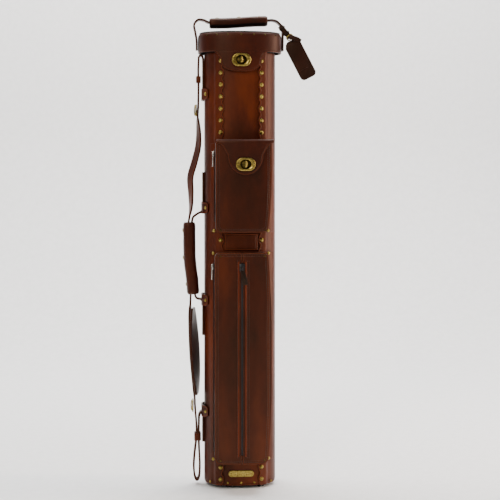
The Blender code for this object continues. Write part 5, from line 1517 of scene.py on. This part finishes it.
WRAP_WIDTH, TOP_WRAP_HEIGHT, SIDE_WRAP_HEIGHT, WRAP_WALL = 0.0300, 0.0200, 0.0240, 0.0028
TOP_WRAP = [(-0.0580, 0, 0.8808), (-0.0200, 0, 0.8818), (0.0200, 0, 0.8848), (0.0530, 0, 0.8862)]
SIDE_WRAP = [(-0.0965, 0, 0.5000), (-0.0965, 0, 0.4700), (-0.0955, 0, 0.4300), (-0.0910, 0, 0.3900),
             (-0.0890, 0, 0.3630)]
SNAP_RADIUS, SNAP_HEIGHT, SNAP_SINK = 0.0046, 0.0018, 0.0004
TOP_WRAP_Z, TOP_WRAP_SLOPE = 0.8832, 0.05     # the top sleeve's middle rises to the right
# The top sleeve is coloured near black along its lower side.
wrap_along("top_wrap_leather", TOP_WRAP, WRAP_WIDTH, TOP_WRAP_HEIGHT, WRAP_WALL,
           "top_handle", "top_handle_wrap", lambda a: 1.0 if math.sin(a) < -0.35 else 0.0)
wrap_along("side_wrap_leather", SIDE_WRAP, WRAP_WIDTH, SIDE_WRAP_HEIGHT, WRAP_WALL,
           "side_straps", "handle_wrap", lambda a: 0.0)
top_snaps = [(at(x, 0.0, TOP_WRAP_Z + TOP_WRAP_SLOPE * x + TOP_WRAP_HEIGHT / 2 - SNAP_SINK),
              Vector((0, 0, 1))) for x in (-0.0430, -0.0010, 0.0380)]
studs("top_wrap_snaps", top_snaps, SNAP_RADIUS, SNAP_HEIGHT, "top_handle")
side_snaps = [(at(x, 0.0, z), Vector((-1, 0, 0))) for x, z in
              ((-0.1083, 0.4850), (-0.1074, 0.4330), (-0.1018, 0.3820))]
studs("side_wrap_snaps", side_snaps, SNAP_RADIUS, SNAP_HEIGHT, "side_straps")


# ---- Shoulder pad -------------------------------------------------------------------------------
# A flat pad of two dark brown leathers with thin felt between them, threaded on the shoulder strap
# and sewn along both of its long edges.

SHOULDER_PAD = [(-0.0893, 0, 0.3360), (-0.0880, 0, 0.3000), (-0.0855, 0, 0.2500), (-0.0830, 0, 0.2050),
                (-0.0815, 0, 0.1720)]
PAD_WIDTH, PAD_THICKNESS = 0.0340, 0.0040
PAD_SEAM, PAD_SEAM_OUT = 0.0140, 0.0018
pad = settle(strap_form("shoulder_pad_leather", SHOULDER_PAD, PAD_WIDTH, PAD_THICKNESS, 12, strap_twist),
             POCKET_BROWN, "side_straps", "shoulder_pad")
pad_frames = frames_along(smooth_path(SHOULDER_PAD, 12), strap_twist)
pad_rows = [[p + wide * side * PAD_SEAM - normal * PAD_SEAM_OUT for p, wide, normal in pad_frames]
            for side in (-1, 1)]
stitched("pad_stitches", pad_rows, "side_straps")


# ---- Buckles and keepers ------------------------------------------------------------------------
# Cast brass roller-less buckles on the shoulder strap, each with a prong through the strap, and
# leather keepers that hold the strap's tail beside them.

def prong(name, box, body):
    """The buckle's tongue: a tapered wire from its middle bar to its frame."""
    low, high = box
    y = (low.y + high.y) / 2
    rings = []
    for k in range(13):
        t = k / 12
        z = low.z + 0.0012 + (high.z - low.z - 0.0016) * t
        x = low.x - 0.0006 - 0.0012 * math.sin(math.pi * t)
        radius = 0.0013 - 0.0004 * t
        turns = [math.tau * j / 10 for j in range(10)]
        rings.append([Vector((x + radius * math.cos(a), y + radius * math.sin(a), z)) for a in turns])
    return settle(lofted(name, rings), BRASS, body)


def keeper(name, centre_x, low, high, depth):
    """A leather loop round the shoulder strap at a height, in the case's frame."""
    half, wall = 0.0108, 0.0016
    rings = []
    for k in range(40):
        angle = math.tau * k / 40
        c, s = math.cos(angle), math.sin(angle)
        out_x, out_y = math.copysign(abs(c) ** 0.4, c), math.copysign(abs(s) ** 0.4, s)
        rings.append([at(centre_x + out_x * (depth - inset), out_y * (half - inset), z)
                      for inset, z in ((0.0, low), (0.0, high), (wall, high), (wall, low))])
    return settle(lofted(name, rings, looped=True), CHESTNUT, "side_straps", bevel=0.0003)


for place in ("top", "bottom"):
    copy_of("strap_buckle_" + place, "brass_buckle_" + place, BRASS, "side_straps", 0.0010)
    prong("buckle_prong_" + place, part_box("strap_buckle_" + place), "side_straps")
keeper("keeper_top", -0.0792, 0.7670, 0.7790, depth=0.0047)
keeper("keeper_bottom", -0.0808, 0.0840, 0.0980, depth=0.0066)


# ---- Name tag -----------------------------------------------------------------------------------
# A leather luggage tag, darker than the case and cut at a slant at its foot, hangs from the right
# end of the top handle by a short strap with a brass buckle, two keepers and a loose tail.

TAG_LEATHER = bridle_leather("oiled_tag_leather_dark", "0c0403", "1a0805", "30120a", 0.48)
TAG_STRAP_LEAN, TAG_STRAP_TOP = 41.0, (0.0766, 0.8760)
TAG_FACE = -0.0116            # the y of the front of the strap that carries the tag
copy_of("tag_body", "tag_leather", TAG_LEATHER, "name_tag", CUT_EDGE)
copy_of("tag_strap", "tag_strap_leather", TAG_LEATHER, "name_tag", 0.0005)


def hung(start, lean, aside, down, out):
    """A point beside and below a start, turned by lean in the front plane, out metres in front."""
    turn = math.radians(lean)
    return at(start[0] + aside * math.cos(turn) + down * math.sin(turn), TAG_FACE - out,
              start[1] + aside * math.sin(turn) - down * math.cos(turn))


def tag_loop(name, middle, half_down, half_aside, wire, thin):
    """A rounded brass frame, lying flat in front of the tag's strap."""
    rings = []
    for k in range(28):
        angle = math.tau * k / 28
        c, s = math.cos(angle), math.sin(angle)
        x, z = math.copysign(abs(c) ** 0.55, c), math.copysign(abs(s) ** 0.55, s)
        ring = []
        for j in range(8):
            turn = math.tau * j / 8
            grow = wire * math.cos(turn)
            ring.append(hung(TAG_STRAP_TOP, TAG_STRAP_LEAN, x * (half_aside + grow),
                             middle + z * (half_down + grow), thin + thin * math.sin(turn)))
        rings.append(ring)
    return settle(lofted(name, rings, looped=True), BRASS, "name_tag")


def tag_keeper(name, place):
    """A narrow black loop over the tag's strap, place metres down it."""
    half, bevel_half, half_length = 0.0061, 0.0056, 0.0020
    back, side, front, inner_front, slim = -0.0023, 0.0010, 0.0016, 0.0003, 0.86
    rings = []
    for out, reach in ((back, half), (side, half), (front, bevel_half),
                       (front, -bevel_half), (side, -half), (back, -half)):
        outer = [hung(TAG_STRAP_TOP, TAG_STRAP_LEAN, reach, place + length, out)
                 for length in (-half_length, half_length)]
        inner = [hung(TAG_STRAP_TOP, TAG_STRAP_LEAN, reach * slim, place + length, min(out, inner_front))
                 for length in (half_length, -half_length)]
        rings.append(outer + inner)
    return settle(lofted(name, rings), BLACK_PULL, "name_tag", bevel=0.0003)


tag_loop("tag_buckle", 0.0290, 0.0042, 0.0062, 0.0011, 0.0009)
tag_keeper("tag_keeper_1", 0.0060)
tag_keeper("tag_keeper_2", 0.0190)
TAIL_TOP, TAIL_LEAN, TAIL_OUT, TAIL_THICKNESS = (0.0936, 0.8560), 70.0, 0.0004, 0.0016
rings = []
for along, rise, half in ((0.0, 0.0, 0.0046), (0.0090, 0.0010, 0.0046),
                          (0.0180, 0.0018, 0.0046), (0.0250, 0.0020, 0.0026)):
    back, front = TAIL_OUT + rise, TAIL_OUT + rise + TAIL_THICKNESS
    rings.append([hung(TAIL_TOP, TAIL_LEAN, side, along, out)
                  for side, out in ((-half, back), (half, back), (half, front), (-half, front))])
settle(lofted("tag_strap_tail", rings), TAG_LEATHER, "name_tag", bevel=0.0004)


# ---- Floor, light and camera --------------------------------------------------------------------
# The case stands on a pale paper sweep under a soft light from the front left. A tall narrow light
# on its right draws the long highlight down its flank, and a third one lights the sweep behind.

def sweep():
    """A roll of matt white paper, laid flat and curving up behind the case."""
    rows = [(-3.0, 0.0), (1.2, 0.0)]
    rows += [(1.2 + 0.8 * math.sin(a), 0.8 - 0.8 * math.cos(a)) for a in spaced(0, math.pi / 2, 16)[1:]]
    rows += [(2.0, 4.0)]
    verts = [(x, y, z) for y, z in rows for x in (-4.0, 4.0)]
    faces = [(2 * k, 2 * k + 1, 2 * k + 3, 2 * k + 2) for k in range(len(rows) - 1)]
    mesh = bpy.data.meshes.new("paper_sweep")
    mesh.from_pydata(verts, [], faces)
    mesh.shade_smooth()
    made = bpy.data.objects.new("paper_sweep", mesh)
    bpy.context.scene.collection.objects.link(made)
    paper, tree, shader = start_material("matt_white_paper")
    place = add(tree, "ShaderNodeTexCoord").outputs["Object"]
    tooth = add(tree, "ShaderNodeTexNoise", {"Vector": place, "Scale": 60.0})
    tone = colours(add(tree, "ShaderNodeValToRGB", {"Fac": tooth.outputs["Fac"]}),
                   (0.3, linear("f4f4f4")), (0.7, linear("fafafa")))
    tree.links.new(tone, shader.inputs["Base Color"])
    shader.inputs["Roughness"].default_value = 0.9
    mesh.materials.append(paper)


def area_light(name, place, aim, wide, tall, power, tint="ffffff"):
    """A rectangular soft box at a place, turned towards a point."""
    lamp = bpy.data.lights.new(name, "AREA")
    lamp.shape = "RECTANGLE"
    lamp.size, lamp.size_y, lamp.energy = wide, tall, power
    lamp.color = linear(tint)[:3]
    made = bpy.data.objects.new(name, lamp)
    made.location = place
    made.rotation_euler = (Vector(aim) - Vector(place)).to_track_quat("-Z", "Y").to_euler()
    bpy.context.scene.collection.objects.link(made)


sweep()
world = bpy.data.worlds.new("studio")
bpy.context.scene.world = world
world.use_nodes = True
world.node_tree.nodes["Background"].inputs["Color"].default_value = grey(0.95)
world.node_tree.nodes["Background"].inputs["Strength"].default_value = 0.26
area_light("key", (-1.1, -2.4, 2.1), (0, 0, 0.50), 0.6, 1.1, 44.0, "fff6ea")
area_light("flank", (1.7, -0.10, 0.75), (0, 0, 0.45), 0.26, 1.8, 38.0, "ffeadb")
area_light("backdrop", (0, 0.6, 3.2), (0, 2.0, 0.8), 3.0, 1.0, 190.0)

lens = bpy.data.cameras.new("camera")
lens.lens = 87.0
lens.shift_y = -0.139
camera = bpy.data.objects.new("camera", lens)
camera_away, camera_height, camera_turn = 2.3, 0.580, math.radians(4)
camera.location = (-camera_away * math.sin(camera_turn), -camera_away * math.cos(camera_turn), camera_height)
camera.rotation_euler = (math.radians(90), 0, -camera_turn)
bpy.context.scene.collection.objects.link(camera)
bpy.context.scene.camera = camera
